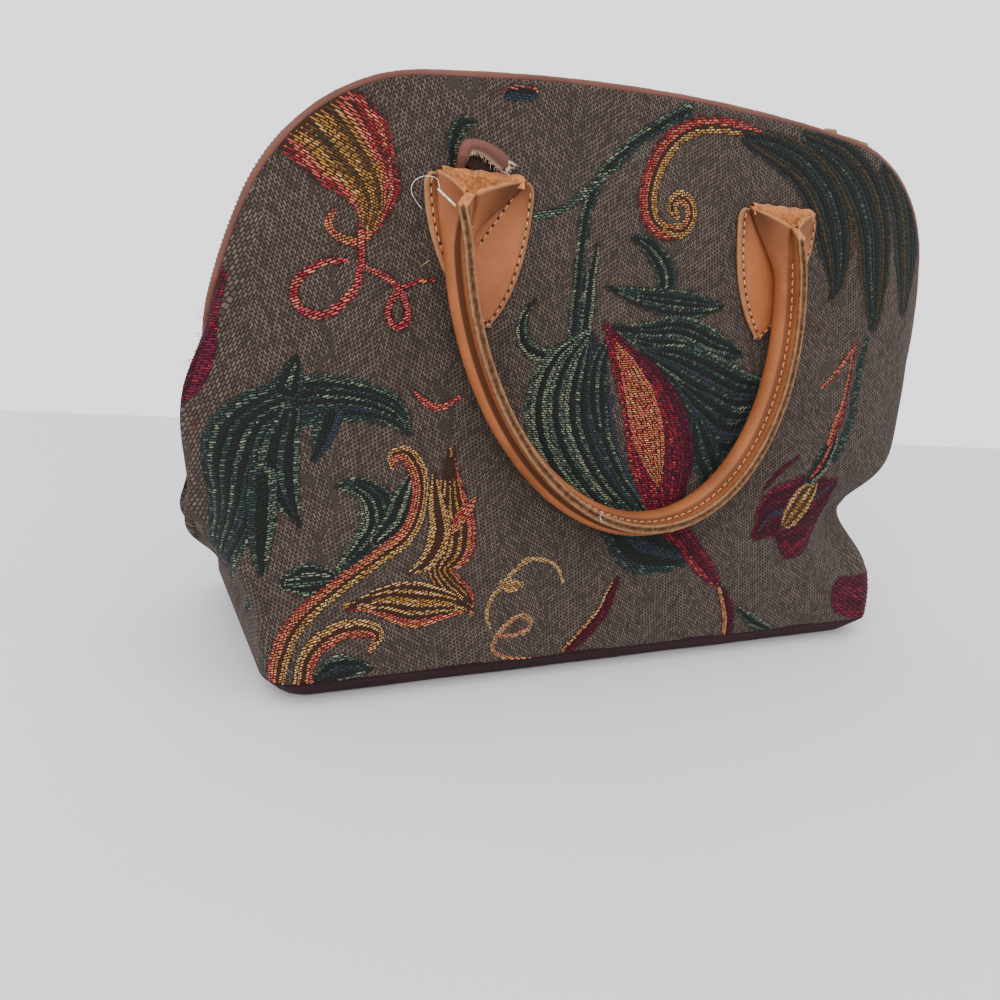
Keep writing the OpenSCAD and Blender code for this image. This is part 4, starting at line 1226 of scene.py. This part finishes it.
def patch_z(g, q):
    """Height of a patch's places, by the share of its length."""
    return g.fold_z - g.leather_t / 2 - g.patch_l * math.cos(g.lean) * q


def patch_lift(g, rim):
    """Height of a patch's face over the cloth, by the distance from its rim."""
    return g.seat + g.leather_t * (0.55 + 0.45 * np.sqrt(np.clip(rim / 1.2, 0, 1))) + 0.5 * ease(rim / 12)


def make_patch(context, word, side):
    """Leaf-shaped leather patch with rolled raw edges."""
    g, panel = half_of(context, word)
    rows, cols = PATCH_ROWS, PATCH_COLS
    q, s = np.meshgrid(np.linspace(0, 1, rows), np.linspace(-1, 1, cols), indexing="ij")
    half = patch_half(g, q)
    x = patch_middle(g, side, q) + half * s
    z = patch_z(g, q)
    rim = np.minimum(half * (1 - np.abs(s)), np.minimum(q, 1 - q) * g.patch_l)
    lift = patch_lift(g, rim) - 0.28 * np.exp(-((rim - SEAM_IN) / 0.55) ** 2)
    top = front_place(g, panel, x, z, lift)
    low = front_place(g, panel, x, z, np.full(x.shape, g.seat - 0.15))
    n = rows * cols
    flat = quads(rows, cols)
    faces = np.concatenate([flat[:, ::-1], flat + n, edge_faces(rim_of(rows, cols), n)])
    points = np.concatenate([top.reshape(-1, 3), low.reshape(-1, 3)])
    raw = np.concatenate([(1 - ease(rim / 1.1)).ravel(), np.ones(n)])
    # Painted shade: darker along the sunk seam line and over the top of the patch, under its funnel.
    tone = 0.35 * np.exp(-((rim - SEAM_IN) / 0.8) ** 2) + 0.6 * ease(1 - q * 3)
    tone = np.concatenate([np.clip(tone, 0, 0.7).ravel(), np.zeros(n)])
    pale = np.concatenate([0.55 * (1 - ease(rim / 1.2)).ravel(), np.zeros(n)])
    points, faces = set_side(word, points, faces)
    made = Build()
    made.add(points, faces, raw=raw, tone=tone, pale=pale)
    return made.piece(context, f"{word}_{side}_leaf", ["tan"], "bag", "handle_leather",
                      f"{word}_{side}_patch")


def stitch_row(path, out, pitch, long, thick, rng, sink=0.25):
    """Stitches along a path: (points, faces) of each, and the needle holes between them."""
    run = lengths(path)
    bow = np.array([-sink, thick * 0.35, thick * 0.5, thick * 0.35, -sink])[:, None]
    radius = thick * np.array([0.42, 0.52, 0.55, 0.52, 0.42])
    rows, holes = [], []
    for k in range(int(run[-1] / pitch)):
        s = (k + 0.5) * pitch + np.array([-0.5, -0.3, 0, 0.3, 0.5]) * long + rng.normal(0, 0.05)
        rows.append(tube(at_lengths(s, run, path) + at_lengths(s, run, out) * bow, radius))
        holes.append((at_lengths(k * pitch, run, path), unit(at_lengths(k * pitch, run, out))))
    return rows, holes


def hole_disc(centre, out, radius):
    """A needle's pit: a small dished disc just above the leather, dark as painted shade inside the pit."""
    side = unit(np.cross(out, [0.3, 0.5, 0.8]))
    a = np.arange(8)[:, None] * np.pi / 4
    ring = radius * (np.cos(a) * side + np.sin(a) * np.cross(out, side))
    points = np.concatenate([centre + ring + out * 0.06, centre - out * 0.5 + 0.5 * ring])
    return points, [list(range(8)), *quads(2, 8, True).tolist(), list(range(15, 7, -1))]


def patch_seams(g, panel, side):
    """Paths of the patch's edge stitching and of the seam that runs from its inner corner to the throat."""
    q = np.linspace(0.03, 0.985, 120)
    half = np.maximum(patch_half(g, q) - SEAM_IN, 0.3)
    middle = patch_middle(g, side, q)
    left = np.stack([middle - half, q], -1)
    right = np.stack([middle + half, q], -1)[::-1]
    t = np.linspace(0, 1, 40)
    slant = np.stack([patch_middle(g, side, 0) - SIDES[side] * (14.2 - 17 * t), 0.05 + 0.47 * t], -1)
    found = []
    for line, sunk in ((np.concatenate([left, right]), 0.1), (slant, -0.04)):
        x, q = line.T
        rim = np.minimum(patch_half(g, q) - np.abs(x - patch_middle(g, side, q)),
                         np.minimum(q, 1 - q) * g.patch_l)
        found.append(front_place(g, panel, x, patch_z(g, q), patch_lift(g, rim) - sunk))
    return found


def make_patches(context):
    """Four leaf patches with their stitching."""
    rng = np.random.default_rng(SEED + 1)
    for word in HALVES:
        g, panel = half_of(context, word)
        out = np.array([0, -math.cos(g.lean), math.sin(g.lean)])
        seam = Build()
        for side in SIDES:
            make_patch(context, word, side)
            for path in patch_seams(g, panel, side):
                rows, holes = stitch_row(path, np.tile(out, (len(path), 1)), g.stitch_pitch, 1.9, 0.5, rng)
                for points, faces in rows:
                    seam.add(*set_side(word, points, faces))
                # Dark discs at the needle holes paint the shade inside them
                for centre, way in holes:
                    seam.add(*set_side(word, *hole_disc(centre, way, HOLE_R)), 1)
        seam.piece(context, f"{word}_patch_stitches", ["thread", "hole"], "bag", "handle_leather")


# Rings along a handle, points round its roll, of which so many take a flap's painted shade, and rings inside
# a funnel
HANDLE_RINGS = 260
ROLL_POINTS = 37
FLAP_SHADE_POINTS = 13
FUNNEL_RINGS = 34


def handle_line(g, n):
    """Middle line of a handle in its own plane, evenly spaced: a leg, the oval bow and a leg."""
    top = g.bow_h - g.drop
    a = np.linspace(0, np.pi, 160)
    bow = np.stack([-g.leg_gap / 2 * np.cos(a), top - g.bow_h * np.sin(a)], -1)
    line = np.concatenate([[[-g.leg_gap / 2, 0]], bow, [[g.leg_gap / 2, 0]]])
    line[:, 0] -= g.sway * line[:, 1] / g.drop
    run = lengths(line)
    return at_lengths(np.linspace(0, run[-1], n), run, line)


def section(g, m, wall):
    """Section of the round roll (m 0) or of the open mouth (m 1), drawn in by a wall."""
    s = np.linspace(-1, 1, ROLL_POINTS)
    a = math.radians(270) + math.radians(145) * s
    r = g.roll_r - wall
    ring = np.stack([r * np.cos(a), r * np.sin(a)], -1)
    half, back, front = g.mouth_w / 2 - 3.6 * wall, wall - g.roll_r, g.roll_r - 1.2 * wall
    share = np.clip((np.abs(s) - 0.5) * 2, 0, 1)
    curl = 1.1 * np.sin(np.pi * share) * (1 - wall / 4)
    x = np.where(np.abs(s) <= 0.5, half * s * 2, np.sign(s) * (half + (g.fin_t / 2 - half) * share))
    y = np.where(np.abs(s) <= 0.5, back, back + (front - back) * share - curl)
    soft = np.abs(np.abs(s) - 0.5) < 0.06
    x, y = np.where(soft, x * 0.97, x), np.where(soft, y + 0.4, y)
    return ring + (np.stack([x, y], -1) - ring) * m


def fin_outline(g):
    """The seam fin from the roll's right side to its left: two leathers with a groove between."""
    t, top = g.fin_t / 2, g.fin_n
    right = [(t * 1.08, g.roll_r - 0.5), (t * 0.95, g.roll_r + 0.7), (t, top - 1.5), (t, top - 0.5),
             (t - 0.3, top), (0.55, top + 0.05), (0.22, top - 0.35), (0, top - 0.75)]
    return np.array(right + [(-x, y) for x, y in right[-2::-1]])


def handle_rings(g, n, profile):
    """A handle's rings of points in its own plane, level and over their patch at the mouths."""
    line = handle_line(g, n)
    right = square_to(line)
    m = 1 - ease(np.clip(-line[:, 1] / g.funnel_l, 0, 1) ** 0.8)
    side = np.where(np.arange(n) < n / 2, -1, 1)
    right = right + (np.stack([-side, 0 * side], -1) - right) * m[:, None]
    skew = m * (g.patch_shift - g.handle_shift + side * (g.patch_gap - g.leg_gap) / 2)
    rings = []
    for p, way, share, move in zip(line, right, m, skew):
        q = profile(share)
        front = np.clip((q[:, 1] + g.roll_r) / (g.roll_r + g.fin_n), 0, 1)
        rings.append(np.stack([p[0] - way[0] * q[:, 0] + move * (1 - front), -g.roll_n - q[:, 1],
                               p[1] - way[1] * q[:, 0] - share * g.mouth_dip * front], -1))
    return np.array(rings), m


def make_handle(context, word):
    """Rolled leather handle: satin outside, sewn fin with a raw edge, suede inside its two funnels."""
    g, _ = half_of(context, word)
    n, roll, deep = HANDLE_RINGS, ROLL_POINTS, FUNNEL_RINGS
    fin = fin_outline(g)
    groove = roll + len(fin) // 2
    outer, m = handle_rings(g, n, lambda s: np.concatenate([section(g, s, 0.0), fin]))
    inner, _ = handle_rings(g, n, lambda s: section(g, s, g.leather_t * 0.8))
    raw, tone, pale = (np.zeros(outer.shape[:2]) for _ in range(3))
    raw[:, groove - 4:groove + 5] = 1
    raw[:, groove] = 0.2
    raw[[0, -1]] = 1
    pale[:, [groove - 3, groove + 3]] = 0.4
    pale[[0, -1]] = 0.8
    # Painted shade: the roll darkens towards its funnels, most towards the back of one flap, with dark lines
    # at the fin's roots and in its groove.
    tone[:, :roll] = 0.5 * m[:, None]
    tone[:, :FLAP_SHADE_POINTS] = m[:, None] ** 0.6 * (0.35 + 0.6 * ease(np.arange(FLAP_SHADE_POINTS) / 7))
    tone[:, [roll - 1, roll, roll + 1, groove]] = 0.95
    tone[:, [0, -1, -2]] = 0.6
    made = Build()

    def put(points, faces, slot=0, **fields):
        made.add(*set_side(word, on_plane(g, points).reshape(-1, 3), faces), slot, **fields)

    put(outer, quads(*outer.shape[:2], True), raw=raw.ravel(), tone=tone.ravel(), pale=pale.ravel())
    for way, cup, rim in ((1, inner[:deep], outer[0]), (-1, inner[:-deep - 1:-1], outer[-1])):
        floor = [list(range((deep - 1) * roll, deep * roll))[::-way]]
        put(cup, quads(deep, roll, True)[:, ::-way].tolist() + floor, 1)
        put(np.concatenate([rim[:roll], cup[0]]), quads(2, roll)[:, ::-way], 1)
        lip = np.concatenate([rim[roll - 1:], rim[:1]])
        put(lip, [list(range(len(lip)))[::way]], 1)
    return made.piece(context, f"{word}_handle_leather", ["tan", "suede"], f"{word}_handle",
                      "handle_leather", f"{word}_handle", f"{word}_handle_core")


STITCH_RINGS = 420


def make_handle_stitches(context, word):
    """Stitches on the inner side of the fin, where it leaves the roll."""
    g, _ = half_of(context, word)
    rng = np.random.default_rng(SEED + 2)
    made = Build()
    n = STITCH_RINGS
    spot = np.array([[-0.51 * g.fin_t, g.roll_r + 0.9], [-0.5 * g.fin_t - 1, g.roll_r + 0.9]])
    rings, _ = handle_rings(g, n, lambda s: spot)
    inside = slice(int(n * 0.045), int(n * 0.955))
    path = on_plane(g, rings[inside, 0])
    out = on_plane(g, rings[inside, 1]) - path
    rows, _ = stitch_row(path, out, g.stitch_pitch, 2.2, 0.56, rng)
    for points, faces in rows:
        made.add(*set_side(word, points, faces))
    return made.piece(context, f"{word}_handle_stitches", ["thread"], f"{word}_handle", "handle_leather")


def fibre(rng, root, way, long, thick=0.09, curl=0.55):
    """A fine loose fibre that curls away from its root."""
    bend = rng.normal(0, curl, 3)
    s = np.linspace(0, 1, 5)[:, None]
    path = root + long * (s * way + 0.6 * s ** 2 * bend)
    return tube(path, thick * np.array([1, 0.9, 0.75, 0.5, 0.2]), 3)


RIM_FIBRES = 110
CORE_STRANDS = 30
# Rings from a handle's end between which the core's strands show
THROAT_RING, MOUTH_RING = 26, 12


def make_fray(context, word):
    """Core strands in the funnels and the fibres that fray from their raw rims."""
    g, _ = half_of(context, word)
    rng = np.random.default_rng(SEED + 3)
    rings, _ = handle_rings(g, HANDLE_RINGS, lambda s: section(g, s, g.leather_t * 0.4))
    made = Build()
    for end in (0, HANDLE_RINGS - 1):
        rim = rings[end]
        for _ in range(RIM_FIBRES):
            s = rng.uniform(0, ROLL_POINTS - 1)
            i = min(int(s), ROLL_POINTS - 2)
            root = rim[i] + (rim[i + 1] - rim[i]) * (s - i)
            way = np.array([rng.normal(0, 0.4), rng.normal(-0.1, 0.4), 1.0])
            points, faces = fibre(rng, root - way * 0.2, unit(way), rng.uniform(0.5, 1.5))
            made.add(*set_side(word, on_plane(g, points), faces))
        throat, mouth = (rings[abs(end - k)].mean(0) for k in (THROAT_RING, MOUTH_RING))
        way = mouth - throat
        long = np.linalg.norm(way)
        for _ in range(CORE_STRANDS):
            root = throat + np.array([rng.normal(0, 0.9), rng.normal(0, 0.5), rng.normal(0, 0.6)])
            points, faces = fibre(rng, root, way / long, long * rng.uniform(0.25, 0.55), 0.3, 0.12)
            made.add(*set_side(word, on_plane(g, points), faces))
    return made.piece(context, f"{word}_handle_fray", ["suede"], f"{word}_handle", "core_cord")


def make_fold(context, word, side):
    """Leather fold that joins a patch to the back of its funnel."""
    g, _ = half_of(context, word)
    middle = g.patch_shift - g.handle_shift + SIDES[side] * g.patch_gap / 2
    half = g.mouth_w / 2 - 2.2
    x = np.linspace(-half, half, 25)
    near = g.seat + 0.2
    far = g.roll_back + g.leather_t * 0.75
    rings = []
    for s in np.linspace(0, 1, 9):
        out = near + (far - near) * s
        rise = 0.4 + 1.1 * math.sin(math.pi * min(1, s * 1.02)) - 0.8 * s
        tucked = -3.2 if s in (0.0, 1.0) else 0
        z = rise + tucked + 0.25 * np.sin(x * 0.9 + 4 * s)
        rings.append(np.stack([middle + x, np.full(len(x), -out), z], -1))
    points = on_plane(g, np.array(rings).reshape(-1, 3))
    made = Build()
    made.add(*set_side(word, points, quads(len(rings), len(x))[:, ::-1]))
    fold = made.piece(context, f"{word}_{side}_fold", ["suede"], None, "handle_leather")
    ends = on_plane(g, np.array([[middle, -(g.seat + g.leather_t), 0], [middle, -(far - 0.3), 0]]))
    ends, _ = set_side(word, ends, [])
    tuple(ends[0] * MM)
    tuple(ends[1] * MM)
    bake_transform(fold)
    return fold


# Middle lines over the left patch: across, out from the cloth, up, radius along the cloth and radius out
LOOP_LINE = [(-8.5, 1.4, -1.6, 1.0, 0.8), (-8.2, 3.0, 4.0, 1.9, 2.0), (-6.9, 3.9, 8.4, 2.1, 2.5),
             (-2.4, 4.2, 8.8, 2.2, 2.8), (2.8, 4.2, 6.9, 2.7, 2.8), (6.4, 4.0, 4.9, 2.9, 2.7),
             (8.6, 3.9, 3.2, 2.6, 2.5)]
# The second line is a dark sheet under the strap's arch, which paints the shade there
LOOP_SHADE_SHEET = [(-6.6, 1.1, 3.4, 1.0, 0.2), (-3.6, 1.1, 4.2, 3.4, 0.25), (0.4, 1.1, 2.8, 3.4, 0.25),
               (4.0, 1.1, 1.4, 1.6, 0.2)]
# Fibres that fray from the loop's torn end and from its hem
END_FIBRES = 70
HEM_FIBRES = 80


def soft_roll(line, sides=20):
    """Rings of a soft roll in the handles' plane along such a line, and the way it runs."""
    x, n, z, flat, deep = smooth_line(line, 10).T[..., None]
    way = unit(np.gradient(np.concatenate([x, z], 1), axis=0))
    a = np.arange(sides) * 2 * np.pi / sides
    wide = flat * np.cos(a)
    return np.stack([x - way[:, 1:] * wide, -n - deep * np.sin(a), z + way[:, :1] * wide], -1), way


def make_loop(context):
    """Mauve strap that bows up behind the front left funnel, torn open and frayed, with painted shade under
    its arch, at its start and on a dark sheet inside the arch.
    """
    g, _ = half_of(context, "front")
    rng = np.random.default_rng(SEED + 4)
    shift = np.array([g.patch_shift - g.handle_shift - g.patch_gap / 2, 0, 0])
    outer, way = soft_roll(LOOP_LINE)
    n, sides = outer.shape[:2]
    a = np.arange(sides) * 2 * np.pi / sides
    ragged = 0.9 * np.sin(3 * a + 1) + 0.6 * np.sin(7 * a + 2) + 0.4 * np.sin(13 * a)
    tail = ease((np.arange(n) - n + 9) / 8)[:, None] * ragged
    outer = outer + np.stack([tail * way[:, :1], 0 * tail, tail * way[:, 1:]], -1)
    middle = outer.mean(1, keepdims=True)
    inner = (middle + (outer - middle) * 0.66)[:-12:-1]
    rings = np.concatenate([outer, inner])
    raw, tone, pale = (np.zeros((len(rings), sides)) for _ in range(3))
    raw[n - 2:] = 1
    pale[n - 3:n + 2] = np.array([0.5, 0.9, 1, 1, 0.7])[:, None]
    # Painted shade: darker on the underside of the arch and on the rings that rise from behind the funnel.
    tone[:n] = 0.7 * np.clip(-np.cos(a), 0, 1) ** 2
    tone[:12] = np.maximum(tone[:12], 0.5)
    hem = np.clip(-np.cos(a), 0, 1) ** 8
    pale[10:n - 6] = 0.9 * hem
    made = Build()
    made.add(on_plane(g, rings.reshape(-1, 3) + shift), shut_ends(len(rings), sides),
             raw=raw.ravel(), tone=tone.ravel(), pale=pale.ravel())
    shade_sheet, _ = soft_roll(LOOP_SHADE_SHEET)
    made.add(on_plane(g, shade_sheet.reshape(-1, 3) + shift), shut_ends(*shade_sheet.shape[:2]), 1)
    for k in range(END_FIBRES + HEM_FIBRES):
        if k < END_FIBRES:
            i, j = n - 1, rng.integers(sides)
            lead = np.array([way[-1, 0], rng.normal(0, 0.4), way[-1, 1]]) + rng.normal(0, 0.35, 3)
        else:
            i, j = rng.integers(12, n - 8), sides // 2 + rng.integers(-1, 3)
            lead = np.array([way[i, 1], -0.5, -way[i, 0]]) + rng.normal(0, 0.4, 3)
        root = outer[i, j] + rng.normal(0, 0.15, 3)
        points, faces = fibre(rng, root, unit(lead), rng.uniform(0.6, 1.9), 0.13)
        made.add(on_plane(g, points + shift), faces, pale=np.ones(len(points)))
    strap = made.piece(context, "torn_strap", ["mauve", "hole"], "bag", "piping_leather", "torn_loop")
    towards = on_plane(g, np.array([[0, -1.0, 0], [0, 0, 0]]))
    tuple(on_plane(g, shift) * MM)
    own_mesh(strap)
    return strap


# White threads over the left funnel with their thickness, cream tails, and where red fibres leave the cloth
WHITE_THREADS = (
    ([(-80.4, -13.2, -7.6), (-78.6, -15.6, -9.8), (-75.8, -18.2, -12.9)], 0.36),
    ([(-79.4, -12.6, -7.4), (-78.6, -7, -3.6), (-82.3, -5, -3.2), (-85.4, -4.4, -5), (-86.4, -4.2, -8),
      (-84.6, -3.8, -11.1), (-81.9, -3.4, -13.8)], 0.11))
CREAM_TAILS = ((-95, 158, 4, (-0.8, -0.5, 0.3)), (-93, 153, 3, (-0.7, -0.5, -0.4)),
               (-94.5, 160, 3, (-0.5, -0.6, 0.6)))
SEAM_FIBRES, SEAM_FROM, SEAM_TO = 70, (-176, 88), (-160, 146)
# Ring of the handle from which a broken stitch sticks out
BROKEN_AT = 112


def make_threads(context):
    """White thread at the left funnel, tails beside the patch and red fibres at the left seam."""
    g, panel = half_of(context, "front")
    rng = np.random.default_rng(SEED + 5)
    white = Build()
    for path, thick in WHITE_THREADS:
        points, faces = tube(smooth_line(path, 8), thick, 6)
        white.add(on_plane(g, points), faces)
    rings, _ = handle_rings(g, HANDLE_RINGS, lambda s: np.array([[0, g.fin_n]]))
    bow = rings[BROKEN_AT, 0]
    for _ in range(3):
        way = np.array([rng.normal(0, 0.6), -0.8, rng.normal(-0.3, 0.5)])
        points, faces = fibre(rng, bow, unit(way), 4.5, 0.16)
        white.add(on_plane(g, points), faces)
    white.piece(context, "white_threads", ["white"], "front_handle", "core_cord")
    tails = Build()
    c = dyes(context)
    for u, w, long, way in CREAM_TAILS:
        a, b, _ = panel.locate(np.array([[u, w]], float))
        root = panel.sample(panel.points, a, b)[0]
        points, faces = fibre(rng, root, np.array(way), long, 0.16)
        tails.add(points, faces, dye=rgba(c.cream))
    for _ in range(SEAM_FIBRES):
        q = np.array([[rng.uniform(*ends) for ends in zip(SEAM_FROM, SEAM_TO)]])
        a, b, on = panel.locate(q)
        if on[0]:
            root, out = panel.sample(panel.points, a, b)[0], panel.sample(panel.out, a, b)[0]
            way = out + rng.normal(0, 0.5, 3)
            points, faces = fibre(rng, root, unit(way), rng.uniform(1.5, 5), 0.14)
            tails.add(points, faces, dye=rgba(c.red))
    return tails.piece(context, "loose_tails", ["yarn"], "bag", "tapestry")


# Camera in millimetres and degrees
CAMERA_PLACE = (-227, -351.5, 220)
CAMERA_YAW, CAMERA_PITCH, CAMERA_ROLL = 28.2, 22.3, -9.2
# Half width and depth of the floor, the middle of its far edge, that edge's turn and the floor's height
FLOOR_REACH, FLOOR_END, FLOOR_TURN, FLOOR_Z = 1800, (-144, 265.8), -6.8, -0.4


def make_stage(context):
    """Pale floor, soft lights and the camera at the photograph's angle."""
    set_camera(context.scene)
    set_floor(context)
    set_lights(context.scene)


def set_camera(scene):
    """Camera above the front left, turned a little on its axis."""
    yaw, pitch, roll = (math.radians(k) for k in (CAMERA_YAW, CAMERA_PITCH, CAMERA_ROLL))
    right = Vector((math.cos(yaw), -math.sin(yaw), 0))
    ahead = Vector((math.sin(yaw), math.cos(yaw), 0))
    look = ahead * math.cos(pitch) - Vector((0, 0, 1)) * math.sin(pitch)
    up = ahead * math.sin(pitch) + Vector((0, 0, 1)) * math.cos(pitch)
    across = right * math.cos(roll) - up * math.sin(roll)
    tall = right * math.sin(roll) + up * math.cos(roll)
    data = bpy.data.cameras.new("camera")
    data.sensor_width = data.lens = 36
    data.clip_start = 0.01
    camera = bpy.data.objects.new("camera", data)
    turn = Matrix((across, tall, -look)).transposed().to_4x4()
    camera.matrix_world = Matrix.Translation(Vector(CAMERA_PLACE) * MM) @ turn
    scene.collection.objects.link(camera)
    scene.camera = camera


def set_floor(context):
    """Floor that ends behind the bag, its far edge turned as in the photograph."""
    x, y = np.meshgrid(np.linspace(-FLOOR_REACH, FLOOR_REACH, 13), np.linspace(-FLOOR_REACH, 0, 9))
    cos, sin = math.cos(math.radians(FLOOR_TURN)), math.sin(math.radians(FLOOR_TURN))
    points = np.stack([FLOOR_END[0] + x * cos - y * sin, FLOOR_END[1] + x * sin + y * cos,
                       np.full(x.shape, FLOOR_Z)], -1)
    floor = Build()
    floor.add(points, quads(*x.shape))
    floor.mesh("floor", [finish_of(context, "floor")])


def set_lights(scene):
    """Even pale surround with three soft lamps."""
    world = bpy.data.worlds.new("studio")
    world.use_nodes = True
    back = world.node_tree.nodes["Background"]
    back.inputs["Color"].default_value = (0.985, 0.98, 1.0, 1)
    back.inputs["Strength"].default_value = 1.85
    scene.world = world
    for name, place, size, power, tint in (
            ("key", (-700, -520, 900), 0.9, 8, (1.0, 0.98, 0.95)),
            ("fill", (500, -900, 500), 1.2, 1, (0.97, 0.98, 1.0)),
            ("top", (0, 100, 1100), 1.4, 2, (1.0, 1.0, 1.0))):
        lamp = bpy.data.lights.new(name, "AREA")
        lamp.energy, lamp.size, lamp.color = power, size, tint
        made = bpy.data.objects.new(name, lamp)
        made.location = Vector(place) * MM
        made.rotation_euler = (Vector((0, 0, 0.1)) - made.location).to_track_quat("-Z", "Y").to_euler()
        scene.collection.objects.link(made)


class HANDBAG_OT_stage(bpy.types.Operator):
    """Make the floor, the lights and the camera"""
    bl_idname = "handbag.stage"
    bl_label = "Stage"

    def execute(self, context):
        make_stage(context)
        return {"FINISHED"}


class HANDBAG_OT_cloth(bpy.types.Operator):
    """Make the front and back cloth panels"""
    bl_idname = "handbag.cloth"
    bl_label = "Cloth panels"

    def execute(self, context):
        for word in HALVES:
            make_cloth(context, word)
        return {"FINISHED"}


class HANDBAG_OT_floats(bpy.types.Operator):
    """Sew the leaves and scrolls in float stitches"""
    bl_idname = "handbag.floats"
    bl_label = "Float stitches"

    def execute(self, context):
        for word in HALVES:
            make_floats(context, word, "leaf", ("cool",))
            make_floats(context, word, "bloom", ("warm", "wine", "ground"))
        return {"FINISHED"}


class HANDBAG_OT_base(bpy.types.Operator):
    """Make the boxed base and finish its board"""
    bl_idname = "handbag.base"
    bl_label = "Base"

    def execute(self, context):
        make_base(context)
        wear(context, "base_board", "board", 0.4)
        return {"FINISHED"}


class HANDBAG_OT_piping(bpy.types.Operator):
    """Make the two leather pipings"""
    bl_idname = "handbag.piping"
    bl_label = "Piping"

    def execute(self, context):
        for word in HALVES:
            make_piping(context, word)
        return {"FINISHED"}


class HANDBAG_OT_zip(bpy.types.Operator):
    """Make the zip's tapes and coils and finish its metal"""
    bl_idname = "handbag.zip"
    bl_label = "Zip"

    def execute(self, context):
        make_zip(context)
        return {"FINISHED"}


class HANDBAG_OT_patches(bpy.types.Operator):
    """Make the leaf patches with their stitching"""
    bl_idname = "handbag.patches"
    bl_label = "Leaf patches"

    def execute(self, context):
        make_patches(context)
        return {"FINISHED"}


class HANDBAG_OT_handles(bpy.types.Operator):
    """Make the rolled handles, their stitches, fray and folds"""
    bl_idname = "handbag.handles"
    bl_label = "Handles"

    def execute(self, context):
        for word in HALVES:
            make_handle(context, word)
            make_handle_stitches(context, word)
            make_fray(context, word)
            for side in SIDES:
                make_fold(context, word, side)
        return {"FINISHED"}


class HANDBAG_OT_loop(bpy.types.Operator):
    """Make the torn loop"""
    bl_idname = "handbag.loop"
    bl_label = "Torn loop"

    def execute(self, context):
        make_loop(context)
        return {"FINISHED"}


class HANDBAG_OT_threads(bpy.types.Operator):
    """Make the loose threads"""
    bl_idname = "handbag.threads"
    bl_label = "Loose threads"

    def execute(self, context):
        make_threads(context)
        return {"FINISHED"}


STEPS = ("stage", "cloth", "floats", "base", "piping", "zip", "patches", "handles", "loop", "threads")


class HANDBAG_PT_panel(bpy.types.Panel):
    """Sizes, colours and making steps of the handbag"""
    bl_label = "Tapestry handbag"
    bl_idname = "HANDBAG_PT_panel"
    bl_space_type = "VIEW_3D"
    bl_region_type = "UI"
    bl_category = "Handbag"

    def draw(self, context):
        for step in STEPS:
            self.layout.operator(f"handbag.{step}")
        for group in (context.scene.handbag_sizes, context.scene.handbag_colours):
            box = self.layout.box()
            for key in group.__annotations__:
                box.prop(group, key)


CLASSES = (HandbagSizes, HandbagColours, HANDBAG_OT_stage, HANDBAG_OT_cloth, HANDBAG_OT_floats,
           HANDBAG_OT_base, HANDBAG_OT_piping, HANDBAG_OT_zip, HANDBAG_OT_patches, HANDBAG_OT_handles,
           HANDBAG_OT_loop, HANDBAG_OT_threads, HANDBAG_PT_panel)


def register():
    """Add the classes and the scene's settings."""
    for cls in CLASSES:
        bpy.utils.register_class(cls)
    bpy.types.Scene.handbag_sizes = PointerProperty(type=HandbagSizes)
    bpy.types.Scene.handbag_colours = PointerProperty(type=HandbagColours)


def unregister():
    """Take the settings and the classes away again."""
    del bpy.types.Scene.handbag_sizes, bpy.types.Scene.handbag_colours
    for cls in reversed(CLASSES):
        bpy.utils.unregister_class(cls)


def main():
    """Run each step in turn."""
    register()
    for step in STEPS:
        getattr(bpy.ops.handbag, step)()


if __name__ == "__main__":
    main()
